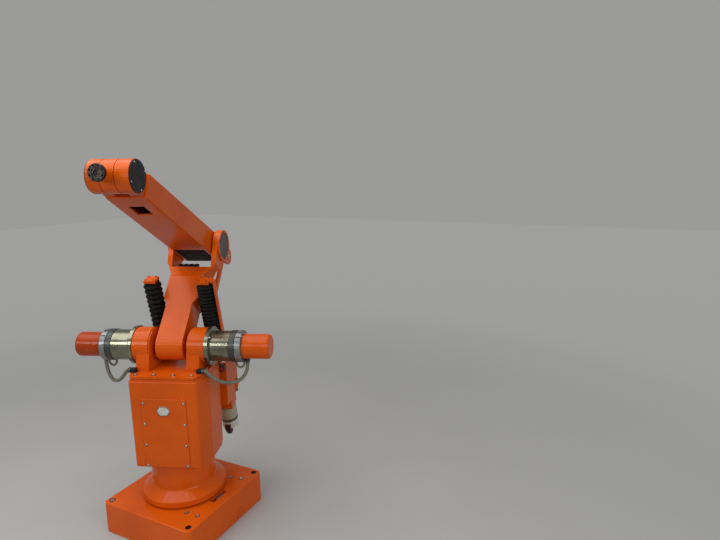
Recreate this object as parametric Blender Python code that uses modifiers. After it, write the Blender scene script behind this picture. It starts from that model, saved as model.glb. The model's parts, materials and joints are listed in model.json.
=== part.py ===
"""Industrial robot arm with five axes, driven at the rear by two screw units.

Units are metres and +Z is up. The base plate lies square to X and Y with its
underside at z = 0 under the slewing axis. Everything above the base is drawn
in a frame that is turned about Z by COLUMN_TURN, where X runs across the arm,
-Y points forward and Z points up.
"""

import math

import bmesh
import bpy
from mathutils import Matrix, Vector

# General clearances
SEAT_GAP = 0.0003
PIN_GAP = 0.0003
RUN_GAP = 0.005

# Pose of the arm at rest
COLUMN_TURN = math.radians(21.0)
LOWER_LEAN = math.radians(42.4)
UPPER_RISE = math.radians(25.8)
TOOL_RISE = math.radians(7.3)
LOWER_TRAVEL = math.radians(80.0)
UPPER_TRAVEL = math.radians(33.0)

# Base
BASE_SIDE = 0.42
BASE_HEIGHT = 0.12
BASE_CORNER = 0.012
BASE_HOLE_INSET = 0.023
BASE_HOLE_RADIUS = 0.008
BASE_EDGE = 0.003
STOP_POCKET = (0.022, 0.077, 0.035)
STOP_POCKET_X = 0.161
STOP_BLOCK_GAP = 0.003
STOP_BLOCK_LENGTH = 0.030
STOP_BLOCK_TALL = 0.030
STOP_BLOCK_Y = 0.008
STOP_BLOCK_EDGE = 0.002
SLEW_RING_RADIUS = 0.130
SLEW_RING_BORE = 0.090

# Column
SKIRT_GAP = 0.007
SKIRT_RADIUS = 0.155
SKIRT_RIM = 0.023
SKIRT_RISE = 0.022
NECK_RADIUS = 0.118
BODY_BOTTOM = 0.277
BODY_HEIGHT = 0.328
BODY_TOP = BODY_BOTTOM + BODY_HEIGHT
BODY_FACE_HALF = 0.124
BODY_HALF = 0.1455
BODY_TAPER = 0.98
BODY_FRONT = -0.130
BODY_SHOULDER_FRONT = -0.057
BODY_SHOULDER_REAR = 0.050
BODY_REAR_HALF = 0.120
BODY_REAR = 0.085
BODY_CORNER = 0.010
BODY_EDGE = 0.003
BODY_REAR_CUT = 0.058
NECK_RISE = 0.035
LID_THICK = 0.0185
LID_EDGE = 0.003
LID_GROOVE = 0.002
LID_GROOVE_DEPTH = 0.004
LID_CHAMFER = 0.012
COVER_HALF = 0.083
COVER_LOW_MARGIN = 0.003
COVER_TOP_MARGIN = 0.062
COVER_THICK = 0.003
BADGE_DROP = 0.045
BADGE_SIZE = (0.052, 0.034)
BADGE_FLAT = 0.55
BADGE_THICK = 0.002

# Shoulder
SHOULDER_RISE = 0.095
SHOULDER_HEIGHT = BODY_TOP + SHOULDER_RISE
CHEEK_INNER = 0.070
CHEEK_WEB = 0.118
CHEEK_OUTER = 0.135
CHEEK_CROWN = 0.064
CHEEK_RADIUS = 0.068
CHEEK_FOOT_HALF = 0.075
CHEEK_FOOT = 0.012
SHAFT_RADIUS = 0.020
MOTOR_FLANGE_RADIUS = 0.072
MOTOR_FLANGE_END = 0.150
MOTOR_RADIUS = 0.057
MOTOR_BODY_END = 0.220
MOTOR_RING_RADIUS = 0.059
MOTOR_RING_GROOVE = 0.0035
MOTOR_RING_SPLIT = 0.241
MOTOR_EDGE = 0.002
MOTOR_RING_END = 0.265
MOTOR_CAP_RADIUS = 0.046
MOTOR_CAP_END = 0.366
MOTOR_CAP_ROUND = 0.008

# Lower arm
LOWER_LENGTH = 0.450
FOOT_HALF = 0.050
FOOT_RADIUS = 0.055
BEAM_HALF = 0.066
BEAM_FRONT = 0.050
BEAM_REAR = 0.042
EAR_INNER = 0.080
EAR_OUTER = 0.100
EAR_RADIUS = 0.062
FOOT_TOP = 0.152
BEAM_START = 0.176
SADDLE_DROP = 0.120
SADDLE_FRONT = 0.026
SADDLE_REAR = 0.014
SADDLE_NECK = 0.045
EAR_RISE = 0.015
BOSS_RADIUS = 0.065
BOSS_FACE = 0.1065
BOSS_RECESS = 0.004
ELBOW_CAP_RADIUS = 0.055
ELBOW_CAP_THICK = 0.002
ELBOW_SHAFT_RADIUS = 0.020

# Cranks that the nuts drive
CRANK_ANGLE = math.radians(77.1)
CRANK_RADIUS = 0.1844
LEVER_NUT_ANGLE = math.radians(20.3)
LEVER_NUT_RADIUS = 0.1357
CRANK_THICK = 0.010
CRANK_HUB = 0.032
CRANK_END = 0.020
CRANK_PIN_RADIUS = 0.010
CRANK_PIN_GAP = 0.001
LEVER_INNER = 0.055

# Parallel rod
TAIL_RADIUS = 0.160
TAIL_HALF = 0.034
TAIL_OUTER = 0.075
TAIL_LUG = 0.014
TAIL_INNER_LUG = 0.024
ROD_CENTRE = 0.0475
ROD_THICK = 0.012
ROD_WIDTH = 0.022
ROD_EYE = 0.018
ROD_PIN_RADIUS = 0.009

# Upper arm
UPPER_LENGTH = 0.670
ARM_HALF_ELBOW = 0.075
ARM_HALF_WRIST = 0.066
ARM_TOP_ELBOW = 0.050
ARM_TOP_WRIST = 0.040
ARM_BOTTOM_ELBOW = 0.052
ARM_BOTTOM_WRIST = 0.042
ARM_BACK = 0.055
ARM_WALL = 0.006
ARM_EDGE = 0.004
WINDOW_HALF = 0.027
WINDOW_START = 0.467
WINDOW_END = 0.539
SLOT_HALF = 0.018
SLOT_START = 0.570
SLOT_END = 0.588
WRIST_RADIUS = 0.052
WRIST_LEFT = -0.067
WRIST_RIGHT = 0.063
WRIST_CAP_THICK = 0.003
WRIST_CAP_RADIUS = 0.050
WRIST_GAP = 0.002
WRIST_AXLE_RADIUS = 0.015
WRIST_AXLE_LENGTH = 0.012

# Wrist and tool flange
HUB_CENTRE = -0.005
HUB_HALF = 0.0225
NECK_TUBE_RADIUS = 0.021
TOOL_REACH = 0.0988
FLANGE_RADIUS = 0.026
FLANGE_THICK = 0.010
FLANGE_BORE = 0.009
FLANGE_BORE_DEPTH = 0.006

# Screw units
UNIT_OFFSET = 0.1045
TRUNNION_Y = 0.202
TRUNNION_DROP = 0.239
TRUNNION_Z = SHOULDER_HEIGHT - TRUNNION_DROP
YOKE_HALF = 0.034
YOKE_DEPTH = 0.032
YOKE_TOP = 0.045
YOKE_BOTTOM = -0.105
TRUNNION_RADIUS = 0.010
SCREW_MOTOR_RADIUS = 0.035
SCREW_MOTOR_LENGTH = 0.112
SCREW_MOTOR_BAND = 0.070
PLUG_RADIUS = 0.018
PLUG_LENGTH = 0.046
PLUG_SHIFT = -0.012
SCREW_RADIUS = 0.010
SCREW_END_GAP = 0.011
NUT_RADIUS = 0.033
NUT_HALF = 0.025
UNIT_CAP_SIDE = 0.044
UNIT_CAP_BOTTOM = 0.4842
UNIT_CAP_THICK = 0.013
BELLOWS_OUTER = 0.033
BELLOWS_INNER = 0.027
BELLOWS_BORE = 0.021
BELLOWS_FOLDS = 14
RAIL_GAP = 0.0015
RAIL_THICK = 0.0055
RAIL_WIDTH = 0.019
BRACKET_INNER = (0.045, 0.057)
BRACKET_OUTER = (0.1495, 0.1605)
BRACKET_PLATE = 0.012
BRACKET_REACH = 0.0165
BRACKET_STEP = 0.001
BRACKET_BELOW = 0.036
BRACKET_ABOVE = 0.138
BRACKET_REAR_LOW = 0.010
BRACKET_REAR_HIGH = 0.098

# Motor cables
CABLE_RADIUS = 0.0065
CABLE_START_INSET = 0.013
CABLE_LOW = 0.045
CABLE_OVER = 0.014
CABLE_END_Y = -0.085
CABLE_STRAIGHT = 0.010
CABLE_POINTS = 20
LEAD_RADIUS = 0.004
LEAD_SPLIT = 0.262
LEAD_END = 0.232
LEAD_DROP = 0.030
LEAD_POINTS = 9
GLAND_RADIUS = 0.008
GLAND_LENGTH = 0.020
GLAND_INSET = 0.0105

ROUND_STEPS = 40
SMALL_STEPS = 20
SMOOTH_ANGLE = math.radians(35.0)

PAINT = (0.60, 0.085, 0.012)


def clear_scene():
    """Removes what the default scene holds."""
    for existing in list(bpy.data.objects):
        bpy.data.objects.remove(existing, do_unlink=True)


def make_collection(name):
    """Adds a collection to the scene."""
    collection = bpy.data.collections.new(name)
    bpy.context.scene.collection.children.link(collection)
    return collection


def make_material(name, colour, roughness, metallic):
    """Makes a plain material."""
    material = bpy.data.materials.new(name)
    material.use_nodes = True
    shader = material.node_tree.nodes["Principled BSDF"]
    shader.inputs["Base Color"].default_value = (colour[0], colour[1], colour[2], 1.0)
    shader.inputs["Roughness"].default_value = roughness
    shader.inputs["Metallic"].default_value = metallic
    material.diffuse_color = (colour[0], colour[1], colour[2], 1.0)
    return material


def make_frame(name, location, turn_x=0.0, turn_z=0.0, parent=None):
    """Adds an empty that stands on a joint's axis."""
    frame = bpy.data.objects.new(name, None)
    parts.objects.link(frame)
    frame.location = location
    frame.rotation_euler = (turn_x, 0.0, turn_z)
    frame.parent = parent
    return frame


def place(shape, name, material, parent, location=(0.0, 0.0, 0.0), rotation=(0.0, 0.0, 0.0)):
    """Names a shape, gives it its material and puts it in its parent's frame."""
    shape.name = name
    shape.data.name = name
    shape.data.materials.clear()
    shape.data.materials.append(material)
    shape.parent = parent
    shape.location = location
    shape.rotation_euler = rotation
    shape.data.shade_smooth()
    shape.data.set_sharp_from_angle(angle=SMOOTH_ANGLE)
    return shape


def from_bmesh(shape_bm, collection=None):
    """Turns a bmesh into an object."""
    mesh = bpy.data.meshes.new("shape")
    bmesh.ops.recalc_face_normals(shape_bm, faces=shape_bm.faces)
    shape_bm.to_mesh(mesh)
    shape_bm.free()
    shape = bpy.data.objects.new("shape", mesh)
    (collection or parts).objects.link(shape)
    return shape


def block(size, centre=(0.0, 0.0, 0.0), collection=None):
    """A rectangular block."""
    shape_bm = bmesh.new()
    bmesh.ops.create_cube(shape_bm, size=1.0)
    bmesh.ops.scale(shape_bm, vec=size, verts=shape_bm.verts)
    bmesh.ops.translate(shape_bm, vec=centre, verts=shape_bm.verts)
    return from_bmesh(shape_bm, collection)


def span(low, high, collection=None):
    """A rectangular block between two corners."""
    size = [high[i] - low[i] for i in range(3)]
    centre = [(high[i] + low[i]) / 2.0 for i in range(3)]
    return block(size, centre, collection)


def tapered_block(start, end, collection=None):
    """A block whose section changes from start to end along Z.

    A section is (z, half width, low y, high y).
    """
    shape_bm = bmesh.new()
    bmesh.ops.create_cube(shape_bm, size=2.0)
    for vertex in shape_bm.verts:
        height, half, low, high = end if vertex.co.z > 0.0 else start
        vertex.co = Vector((
            math.copysign(half, vertex.co.x),
            high if vertex.co.y > 0.0 else low,
            height,
        ))
    return from_bmesh(shape_bm, collection)


def rod_along_x(radius, start, end, steps=ROUND_STEPS, centre=(0.0, 0.0), collection=None):
    """A cylinder along X between two positions, centred on a point (y, z)."""
    shape_bm = bmesh.new()
    bmesh.ops.create_cone(
        shape_bm,
        cap_ends=True,
        segments=steps,
        radius1=radius,
        radius2=radius,
        depth=end - start,
        matrix=Matrix.Rotation(math.pi / 2.0, 4, "Y"),
    )
    bmesh.ops.translate(shape_bm, vec=((start + end) / 2.0, centre[0], centre[1]), verts=shape_bm.verts)
    return from_bmesh(shape_bm, collection)


def rod_along_z(radius, start, end, steps=ROUND_STEPS, centre=(0.0, 0.0), collection=None):
    """A cylinder along Z between two heights, centred on a point (x, y)."""
    shape_bm = bmesh.new()
    bmesh.ops.create_cone(
        shape_bm,
        cap_ends=True,
        segments=steps,
        radius1=radius,
        radius2=radius,
        depth=end - start,
    )
    bmesh.ops.translate(shape_bm, vec=(centre[0], centre[1], (start + end) / 2.0), verts=shape_bm.verts)
    return from_bmesh(shape_bm, collection)


def turned(profile, closed=False, steps=ROUND_STEPS):
    """A shape turned about Z from a profile of (radius, height) points."""
    mesh = bpy.data.meshes.new("shape")
    corners = [(radius, 0.0, height) for radius, height in profile]
    edges = [(i, i + 1) for i in range(len(corners) - 1)]
    if closed:
        edges.append((len(corners) - 1, 0))
    mesh.from_pydata(corners, edges, [])
    shape = bpy.data.objects.new("shape", mesh)
    parts.objects.link(shape)
    screw = shape.modifiers.new("Turn", "SCREW")
    screw.axis = "Z"
    screw.steps = steps
    screw.render_steps = steps
    screw.use_merge_vertices = True
    screw.merge_threshold = 0.0001
    screw.use_smooth_shade = True
    return apply_modifiers(shape)


def apply_modifiers(shape):
    """Replaces an object's mesh by its evaluated one."""
    evaluated = shape.evaluated_get(bpy.context.evaluated_depsgraph_get())
    mesh = bpy.data.meshes.new_from_object(evaluated)
    old_data = shape.data
    if isinstance(old_data, bpy.types.Mesh):
        shape.modifiers.clear()
        shape.data = mesh
        bpy.data.meshes.remove(old_data)
        return shape
    solid = bpy.data.objects.new("shape", mesh)
    shape.users_collection[0].objects.link(solid)
    weld_bm = bmesh.new()
    weld_bm.from_mesh(mesh)
    bmesh.ops.remove_doubles(weld_bm, verts=weld_bm.verts, dist=0.00001)
    bmesh.ops.recalc_face_normals(weld_bm, faces=weld_bm.faces)
    weld_bm.to_mesh(mesh)
    weld_bm.free()
    bpy.data.objects.remove(shape, do_unlink=True)
    bpy.data.curves.remove(old_data)
    return solid


def flat_curve(outlines, thickness, collection=None):
    """A flat outline in XY, with any holes, that is thickened along Z."""
    curve = bpy.data.curves.new("shape", "CURVE")
    curve.dimensions = "2D"
    curve.fill_mode = "BOTH"
    curve.extrude = thickness / 2.0
    for outline in outlines:
        spline = curve.splines.new("POLY")
        spline.points.add(len(outline) - 1)
        for point, corner in zip(spline.points, outline):
            point.co = (corner[0], corner[1], 0.0, 1.0)
        spline.use_cyclic_u = True
    shape = bpy.data.objects.new("shape", curve)
    (collection or parts).objects.link(shape)
    return apply_modifiers(shape)


def move_mesh(shape, matrix):
    """Moves the mesh inside its object."""
    shape.data.transform(matrix)
    return shape


def side_plate(outlines, start, end, collection=None):
    """A plate across X whose outline is drawn in (y, z)."""
    shape = flat_curve(outlines, end - start, collection)
    upright = Matrix(((0.0, 0.0, 1.0), (1.0, 0.0, 0.0), (0.0, 1.0, 0.0))).to_4x4()
    return move_mesh(shape, Matrix.Translation(((start + end) / 2.0, 0.0, 0.0)) @ upright)


def front_plate(outlines, start, end, collection=None):
    """A plate across Y whose outline is drawn in (x, z)."""
    shape = flat_curve(outlines, end - start, collection)
    upright = Matrix.Rotation(math.pi / 2.0, 4, "X")
    return move_mesh(shape, Matrix.Translation((0.0, (start + end) / 2.0, 0.0)) @ upright)


def link_outline(first, first_radius, second, second_radius, steps=SMALL_STEPS):
    """Outline of two discs joined by their outer tangents."""
    run = (second[0] - first[0], second[1] - first[1])
    length = math.hypot(run[0], run[1])
    heading = math.atan2(run[1], run[0])
    spread = math.acos((first_radius - second_radius) / length)
    outline = []
    for i in range(steps + 1):
        angle = heading + spread + (2.0 * math.pi - 2.0 * spread) * i / steps
        outline.append((
            first[0] + first_radius * math.cos(angle),
            first[1] + first_radius * math.sin(angle),
        ))
    for i in range(steps + 1):
        angle = heading - spread + 2.0 * spread * i / steps
        outline.append((
            second[0] + second_radius * math.cos(angle),
            second[1] + second_radius * math.sin(angle),
        ))
    return outline


def boolean(shape, other, operation):
    """Joins, cuts or crosses a shape with another and removes the other."""
    modifier = shape.modifiers.new(operation.title(), "BOOLEAN")
    modifier.operation = operation
    modifier.solver = "EXACT"
    modifier.object = other
    apply_modifiers(shape)
    other_mesh = other.data
    bpy.data.objects.remove(other, do_unlink=True)
    bpy.data.meshes.remove(other_mesh)
    return shape


def cut(shape, *cutters):
    """Cuts pieces out of a shape."""
    for cutter in cutters:
        boolean(shape, cutter, "DIFFERENCE")
    return shape


def join(shape, *additions):
    """Joins pieces to a shape."""
    for addition in additions:
        boolean(shape, addition, "UNION")
    return shape


def soften(shape, width, segments=2):
    """Rounds a shape's sharp edges."""
    bevel = shape.modifiers.new("Round", "BEVEL")
    bevel.width = width
    bevel.segments = segments
    bevel.limit_method = "ANGLE"
    bevel.angle_limit = math.radians(40.0)
    return apply_modifiers(shape)


def arc_point(radius, angle):
    """Point (y, z) at an angle that is measured backward from straight up."""
    return (radius * math.sin(angle), radius * math.cos(angle))


clear_scene()
parts = make_collection("robot_arm")

orange = make_material("orange paint", PAINT, 0.38, 0.0)
olive = make_material("yellow passivated metal", (0.42, 0.38, 0.22), 0.35, 0.9)
grey_metal = make_material("grey cast metal", (0.36, 0.37, 0.38), 0.45, 0.8)
dark_cap = make_material("dark grey cover", (0.09, 0.10, 0.12), 0.5, 0.2)
steel = make_material("bright steel", (0.55, 0.55, 0.54), 0.3, 1.0)
dark_steel = make_material("dark steel", (0.13, 0.13, 0.14), 0.4, 0.9)
rubber = make_material("black rubber", (0.012, 0.012, 0.012), 0.6, 0.0)
sheath = make_material("olive grey cable sheath", (0.20, 0.20, 0.15), 0.5, 0.0)
plate_metal = make_material("plain plate", (0.62, 0.62, 0.58), 0.35, 0.6)
plug_brown = make_material("dark connector", (0.06, 0.035, 0.03), 0.5, 0.1)

# Base, square to the world axes
base_top = BASE_HEIGHT
half_side = BASE_SIDE / 2.0
base_outline = [
    (half_side - BASE_CORNER, -half_side),
    (half_side, -half_side + BASE_CORNER),
    (half_side, half_side - BASE_CORNER),
    (half_side - BASE_CORNER, half_side),
    (-half_side + BASE_CORNER, half_side),
    (-half_side, half_side - BASE_CORNER),
    (-half_side, -half_side + BASE_CORNER),
    (-half_side + BASE_CORNER, -half_side),
]
base_plate = flat_curve([base_outline], BASE_HEIGHT)
move_mesh(base_plate, Matrix.Translation((0.0, 0.0, BASE_HEIGHT / 2.0)))
soften(base_plate, BASE_EDGE)
hole_place = half_side - BASE_HOLE_INSET
for side_x in (-1.0, 1.0):
    for side_y in (-1.0, 1.0):
        cut(base_plate, rod_along_z(
            BASE_HOLE_RADIUS,
            -RUN_GAP,
            BASE_HEIGHT + RUN_GAP,
            SMALL_STEPS,
            (side_x * hole_place, side_y * hole_place),
        ))
cut(base_plate, block(
    (STOP_POCKET[0], STOP_POCKET[1], 2.0 * STOP_POCKET[2]),
    (STOP_POCKET_X, 0.0, base_top),
))
place(base_plate, "base_plate", orange, None)

stop_block = block((STOP_POCKET[0] - 2.0 * STOP_BLOCK_GAP, STOP_BLOCK_LENGTH, STOP_BLOCK_TALL))
soften(stop_block, STOP_BLOCK_EDGE, 1)
place(stop_block, "stop_block", steel, None, (
    STOP_POCKET_X,
    STOP_BLOCK_Y,
    base_top - STOP_POCKET[2] + SEAT_GAP + STOP_BLOCK_TALL / 2.0,
))

slew_ring = turned([
    (SLEW_RING_RADIUS, base_top + SKIRT_GAP - SEAT_GAP),
    (SLEW_RING_RADIUS, base_top + SEAT_GAP),
    (SLEW_RING_BORE, base_top + SEAT_GAP),
    (SLEW_RING_BORE, base_top + SKIRT_GAP - SEAT_GAP),
], closed=True)
place(slew_ring, "slew_ring", dark_steel, None)

# Column
column = make_frame("column_frame", (0.0, 0.0, 0.0), turn_z=COLUMN_TURN)
skirt_bottom = base_top + SKIRT_GAP
rim_top = skirt_bottom + SKIRT_RIM
column_foot = turned([
    (0.0, BODY_BOTTOM - SEAT_GAP),
    (NECK_RADIUS, BODY_BOTTOM - SEAT_GAP),
    (NECK_RADIUS, rim_top + SKIRT_RISE + 0.006),
    (NECK_RADIUS + 0.002, rim_top + SKIRT_RISE + 0.002),
    (NECK_RADIUS + 0.005, rim_top + SKIRT_RISE),
    (SKIRT_RADIUS - 0.004, rim_top + 0.002),
    (SKIRT_RADIUS - 0.001, rim_top),
    (SKIRT_RADIUS, rim_top - 0.003),
    (SKIRT_RADIUS, skirt_bottom + 0.002),
    (SKIRT_RADIUS - 0.002, skirt_bottom),
    (0.0, skirt_bottom),
])
place(column_foot, "column_foot", orange, column)

body_outline = [
    (-BODY_FACE_HALF, BODY_FRONT),
    (BODY_FACE_HALF, BODY_FRONT),
    (BODY_HALF, BODY_SHOULDER_FRONT),
    (BODY_HALF, BODY_SHOULDER_REAR),
    (BODY_REAR_HALF, BODY_REAR),
    (-BODY_REAR_HALF, BODY_REAR),
    (-BODY_HALF, BODY_SHOULDER_REAR),
    (-BODY_HALF, BODY_SHOULDER_FRONT),
]
column_body = flat_curve([body_outline], BODY_HEIGHT)
body_bm = bmesh.new()
body_bm.from_mesh(column_body.data)
for vertex in body_bm.verts:
    if vertex.co.z < 0.0:
        vertex.co.x *= BODY_TAPER
front_edges = [
    edge for edge in body_bm.edges
    if abs(edge.verts[0].co.z - edge.verts[1].co.z) > BODY_HEIGHT / 2.0
    and edge.verts[0].co.y < BODY_FRONT + BODY_CORNER
]
bmesh.ops.bevel(
    body_bm,
    geom=front_edges,
    offset=BODY_CORNER,
    segments=4,
    profile=0.5,
    affect="EDGES",
)
body_bm.to_mesh(column_body.data)
body_bm.free()
move_mesh(column_body, Matrix.Translation((0.0, 0.0, BODY_BOTTOM + BODY_HEIGHT / 2.0)))
soften(column_body, BODY_EDGE, 1)
cut(column_body, side_plate(
    [[
        (BODY_REAR - BODY_REAR_CUT, BODY_BOTTOM - RUN_GAP),
        (BODY_REAR + RUN_GAP, BODY_BOTTOM - RUN_GAP),
        (BODY_REAR + RUN_GAP, BODY_BOTTOM + BODY_REAR_CUT + RUN_GAP),
    ]],
    -2.0 * BODY_HALF,
    2.0 * BODY_HALF,
))
neck_stub = rod_along_z(NECK_RADIUS, BODY_BOTTOM, BODY_BOTTOM + NECK_RISE)
cut(neck_stub, span(
    (-BODY_HALF, BODY_REAR - 2.0 * BODY_EDGE, 0.0),
    (BODY_HALF, 2.0 * BODY_HALF, BODY_TOP),
))
join(column_body, neck_stub)
place(column_body, "column_body", orange, column)

lid_bottom = BODY_TOP + SEAT_GAP
lid_top = lid_bottom + LID_THICK


def lid_plate(inset, thickness, height):
    """One layer of the lid, drawn inside the body's outline."""
    half = BODY_HALF - inset
    front = BODY_FRONT + inset
    shape = flat_curve([[
        (-BODY_FACE_HALF + inset + LID_CHAMFER / 2.0, front),
        (BODY_FACE_HALF - inset - LID_CHAMFER / 2.0, front),
        (BODY_FACE_HALF - inset + LID_CHAMFER / 4.0, front + LID_CHAMFER),
        (half, BODY_SHOULDER_FRONT),
        (half, BODY_SHOULDER_REAR),
        (BODY_REAR_HALF - inset, BODY_REAR - inset),
        (-BODY_REAR_HALF + inset, BODY_REAR - inset),
        (-half, BODY_SHOULDER_REAR),
        (-half, BODY_SHOULDER_FRONT),
        (-BODY_FACE_HALF + inset - LID_CHAMFER / 4.0, front + LID_CHAMFER),
    ]], thickness)
    return move_mesh(shape, Matrix.Translation((0.0, 0.0, height)))


lid_layer = (LID_THICK - LID_GROOVE) / 2.0
column_lid = lid_plate(LID_EDGE, lid_layer, lid_bottom + lid_layer / 2.0)
join(
    column_lid,
    lid_plate(LID_EDGE + LID_GROOVE_DEPTH, LID_THICK - lid_layer, (lid_bottom + lid_top) / 2.0),
    lid_plate(LID_EDGE, lid_layer, lid_top - lid_layer / 2.0),
)
place(column_lid, "column_lid", orange, column)

cover_face = BODY_FRONT - SEAT_GAP
front_cover = span(
    (-COVER_HALF, cover_face - COVER_THICK, BODY_BOTTOM + COVER_LOW_MARGIN),
    (COVER_HALF, cover_face, BODY_TOP - COVER_TOP_MARGIN),
)
soften(front_cover, 0.0008, 1)
place(front_cover, "front_cover", orange, column)

badge_face = cover_face - COVER_THICK - SEAT_GAP
badge_half = BADGE_SIZE[0] / 2.0
badge_rise = BADGE_SIZE[1] / 2.0
name_plate = front_plate([[
    (-badge_half, 0.0),
    (-badge_half * BADGE_FLAT, -badge_rise),
    (badge_half * BADGE_FLAT, -badge_rise),
    (badge_half, 0.0),
    (badge_half * BADGE_FLAT, badge_rise),
    (-badge_half * BADGE_FLAT, badge_rise),
]], badge_face - BADGE_THICK, badge_face)
place(name_plate, "blank_plate", plate_metal, column, (0.0, 0.0, BODY_TOP - COVER_TOP_MARGIN - BADGE_DROP))

# Shoulder housing: two cheeks on a foot plate, tied by the fixed shaft
foot_low = lid_top + SEAT_GAP - SHOULDER_HEIGHT
cheek_outline = [
    (CHEEK_FOOT_HALF, foot_low),
    (CHEEK_FOOT_HALF, foot_low + CHEEK_FOOT),
] + [
    (CHEEK_CROWN * math.cos(math.pi * i / 24.0), CHEEK_CROWN * math.sin(math.pi * i / 24.0))
    for i in range(25)
] + [
    (-CHEEK_FOOT_HALF, foot_low + CHEEK_FOOT),
    (-CHEEK_FOOT_HALF, foot_low),
]
shoulder_housing = side_plate([cheek_outline], CHEEK_INNER, CHEEK_WEB)
join(
    shoulder_housing,
    side_plate([cheek_outline], -CHEEK_WEB, -CHEEK_INNER),
    rod_along_x(CHEEK_RADIUS, CHEEK_INNER + RUN_GAP, CHEEK_OUTER),
    rod_along_x(CHEEK_RADIUS, -CHEEK_OUTER, -CHEEK_INNER - RUN_GAP),
    rod_along_x(SHAFT_RADIUS, -CHEEK_WEB, CHEEK_WEB),
)
shoulder = make_frame("shoulder_frame", (0.0, 0.0, SHOULDER_HEIGHT), parent=column)
place(shoulder_housing, "shoulder_housing", orange, shoulder)

# Wrist motors on the shoulder axis, one each side
for side, label in ((-1.0, "left"), (1.0, "right")):
    along_x = (0.0, side * math.pi / 2.0, 0.0)
    motor = turned([
        (0.0, MOTOR_BODY_END),
        (MOTOR_RADIUS, MOTOR_BODY_END),
        (MOTOR_RADIUS, MOTOR_FLANGE_END),
        (MOTOR_FLANGE_RADIUS - MOTOR_EDGE, MOTOR_FLANGE_END),
        (MOTOR_FLANGE_RADIUS, MOTOR_FLANGE_END - MOTOR_EDGE),
        (MOTOR_FLANGE_RADIUS, CHEEK_OUTER + SEAT_GAP),
        (0.0, CHEEK_OUTER + SEAT_GAP),
    ])
    place(motor, label + "_motor_body", olive, shoulder, rotation=along_x)
    ring = turned([
        (0.0, MOTOR_RING_END),
        (MOTOR_RING_RADIUS - MOTOR_EDGE, MOTOR_RING_END),
        (MOTOR_RING_RADIUS, MOTOR_RING_END - MOTOR_EDGE),
        (MOTOR_RING_RADIUS, MOTOR_RING_SPLIT + MOTOR_EDGE),
        (MOTOR_RING_RADIUS - MOTOR_RING_GROOVE, MOTOR_RING_SPLIT + MOTOR_EDGE),
        (MOTOR_RING_RADIUS - MOTOR_RING_GROOVE, MOTOR_RING_SPLIT),
        (MOTOR_RING_RADIUS, MOTOR_RING_SPLIT),
        (MOTOR_RING_RADIUS, MOTOR_BODY_END + SEAT_GAP + MOTOR_EDGE),
        (MOTOR_RING_RADIUS - MOTOR_EDGE, MOTOR_BODY_END + SEAT_GAP),
        (0.0, MOTOR_BODY_END + SEAT_GAP),
    ])
    place(ring, label + "_motor_ring", grey_metal, shoulder, rotation=along_x)
    cap = turned([
        (0.0, MOTOR_CAP_END),
        (MOTOR_CAP_RADIUS - MOTOR_CAP_ROUND, MOTOR_CAP_END),
        (MOTOR_CAP_RADIUS - MOTOR_CAP_ROUND * 0.3, MOTOR_CAP_END - MOTOR_CAP_ROUND * 0.3),
        (MOTOR_CAP_RADIUS, MOTOR_CAP_END - MOTOR_CAP_ROUND),
        (MOTOR_CAP_RADIUS, MOTOR_RING_END + SEAT_GAP),
        (0.0, MOTOR_RING_END + SEAT_GAP),
    ])
    place(cap, label + "_motor_cap", orange, shoulder, rotation=along_x)

# Trunnion brackets behind the column
plate_front = BODY_REAR + SEAT_GAP
eye_front = plate_front + BRACKET_PLATE
arm_front = plate_front + BRACKET_PLATE / 2.0
eye_rear = TRUNNION_Y + BRACKET_REACH
bracket_low = TRUNNION_Z - BRACKET_BELOW
bracket_high = TRUNNION_Z + BRACKET_ABOVE
for side, label in ((-1.0, "left"), (1.0, "right")):
    bracket = span(
        (BRACKET_INNER[0], plate_front, bracket_low),
        (BRACKET_OUTER[1], eye_front, bracket_high),
    )
    outer_arm = side_plate([[
        (arm_front, bracket_low + BRACKET_STEP),
        (eye_rear - BRACKET_REAR_LOW, TRUNNION_Z - BRACKET_REACH - BRACKET_REAR_LOW),
        (eye_rear, TRUNNION_Z - BRACKET_REACH),
        (eye_rear, TRUNNION_Z + BRACKET_REAR_HIGH),
        (eye_front + BRACKET_PLATE, bracket_high - BRACKET_STEP),
        (arm_front, bracket_high - BRACKET_STEP),
    ]], BRACKET_OUTER[0], BRACKET_OUTER[1] - BRACKET_STEP)
    inner_arm = side_plate([[
        (arm_front, bracket_low + 2.0 * BRACKET_STEP),
        (TRUNNION_Y, TRUNNION_Z - BRACKET_REACH),
        (eye_rear, TRUNNION_Z - BRACKET_REACH / 2.0),
        (eye_rear, TRUNNION_Z + BRACKET_REACH / 2.0),
        (TRUNNION_Y, TRUNNION_Z + BRACKET_REACH),
        (arm_front, TRUNNION_Z + BRACKET_BELOW),
    ]], BRACKET_INNER[0] + BRACKET_STEP, BRACKET_INNER[1])
    join(bracket, outer_arm, inner_arm)
    cut(bracket, rod_along_x(
        TRUNNION_RADIUS + PIN_GAP,
        0.0,
        BRACKET_OUTER[1] + RUN_GAP,
        SMALL_STEPS,
        (TRUNNION_Y, TRUNNION_Z),
    ))
    if side < 0.0:
        move_mesh(bracket, Matrix.Scale(-1.0, 4, Vector((1.0, 0.0, 0.0))))
        bracket.data.flip_normals()
    place(bracket, label + "_trunnion_bracket", orange, column)

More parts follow.
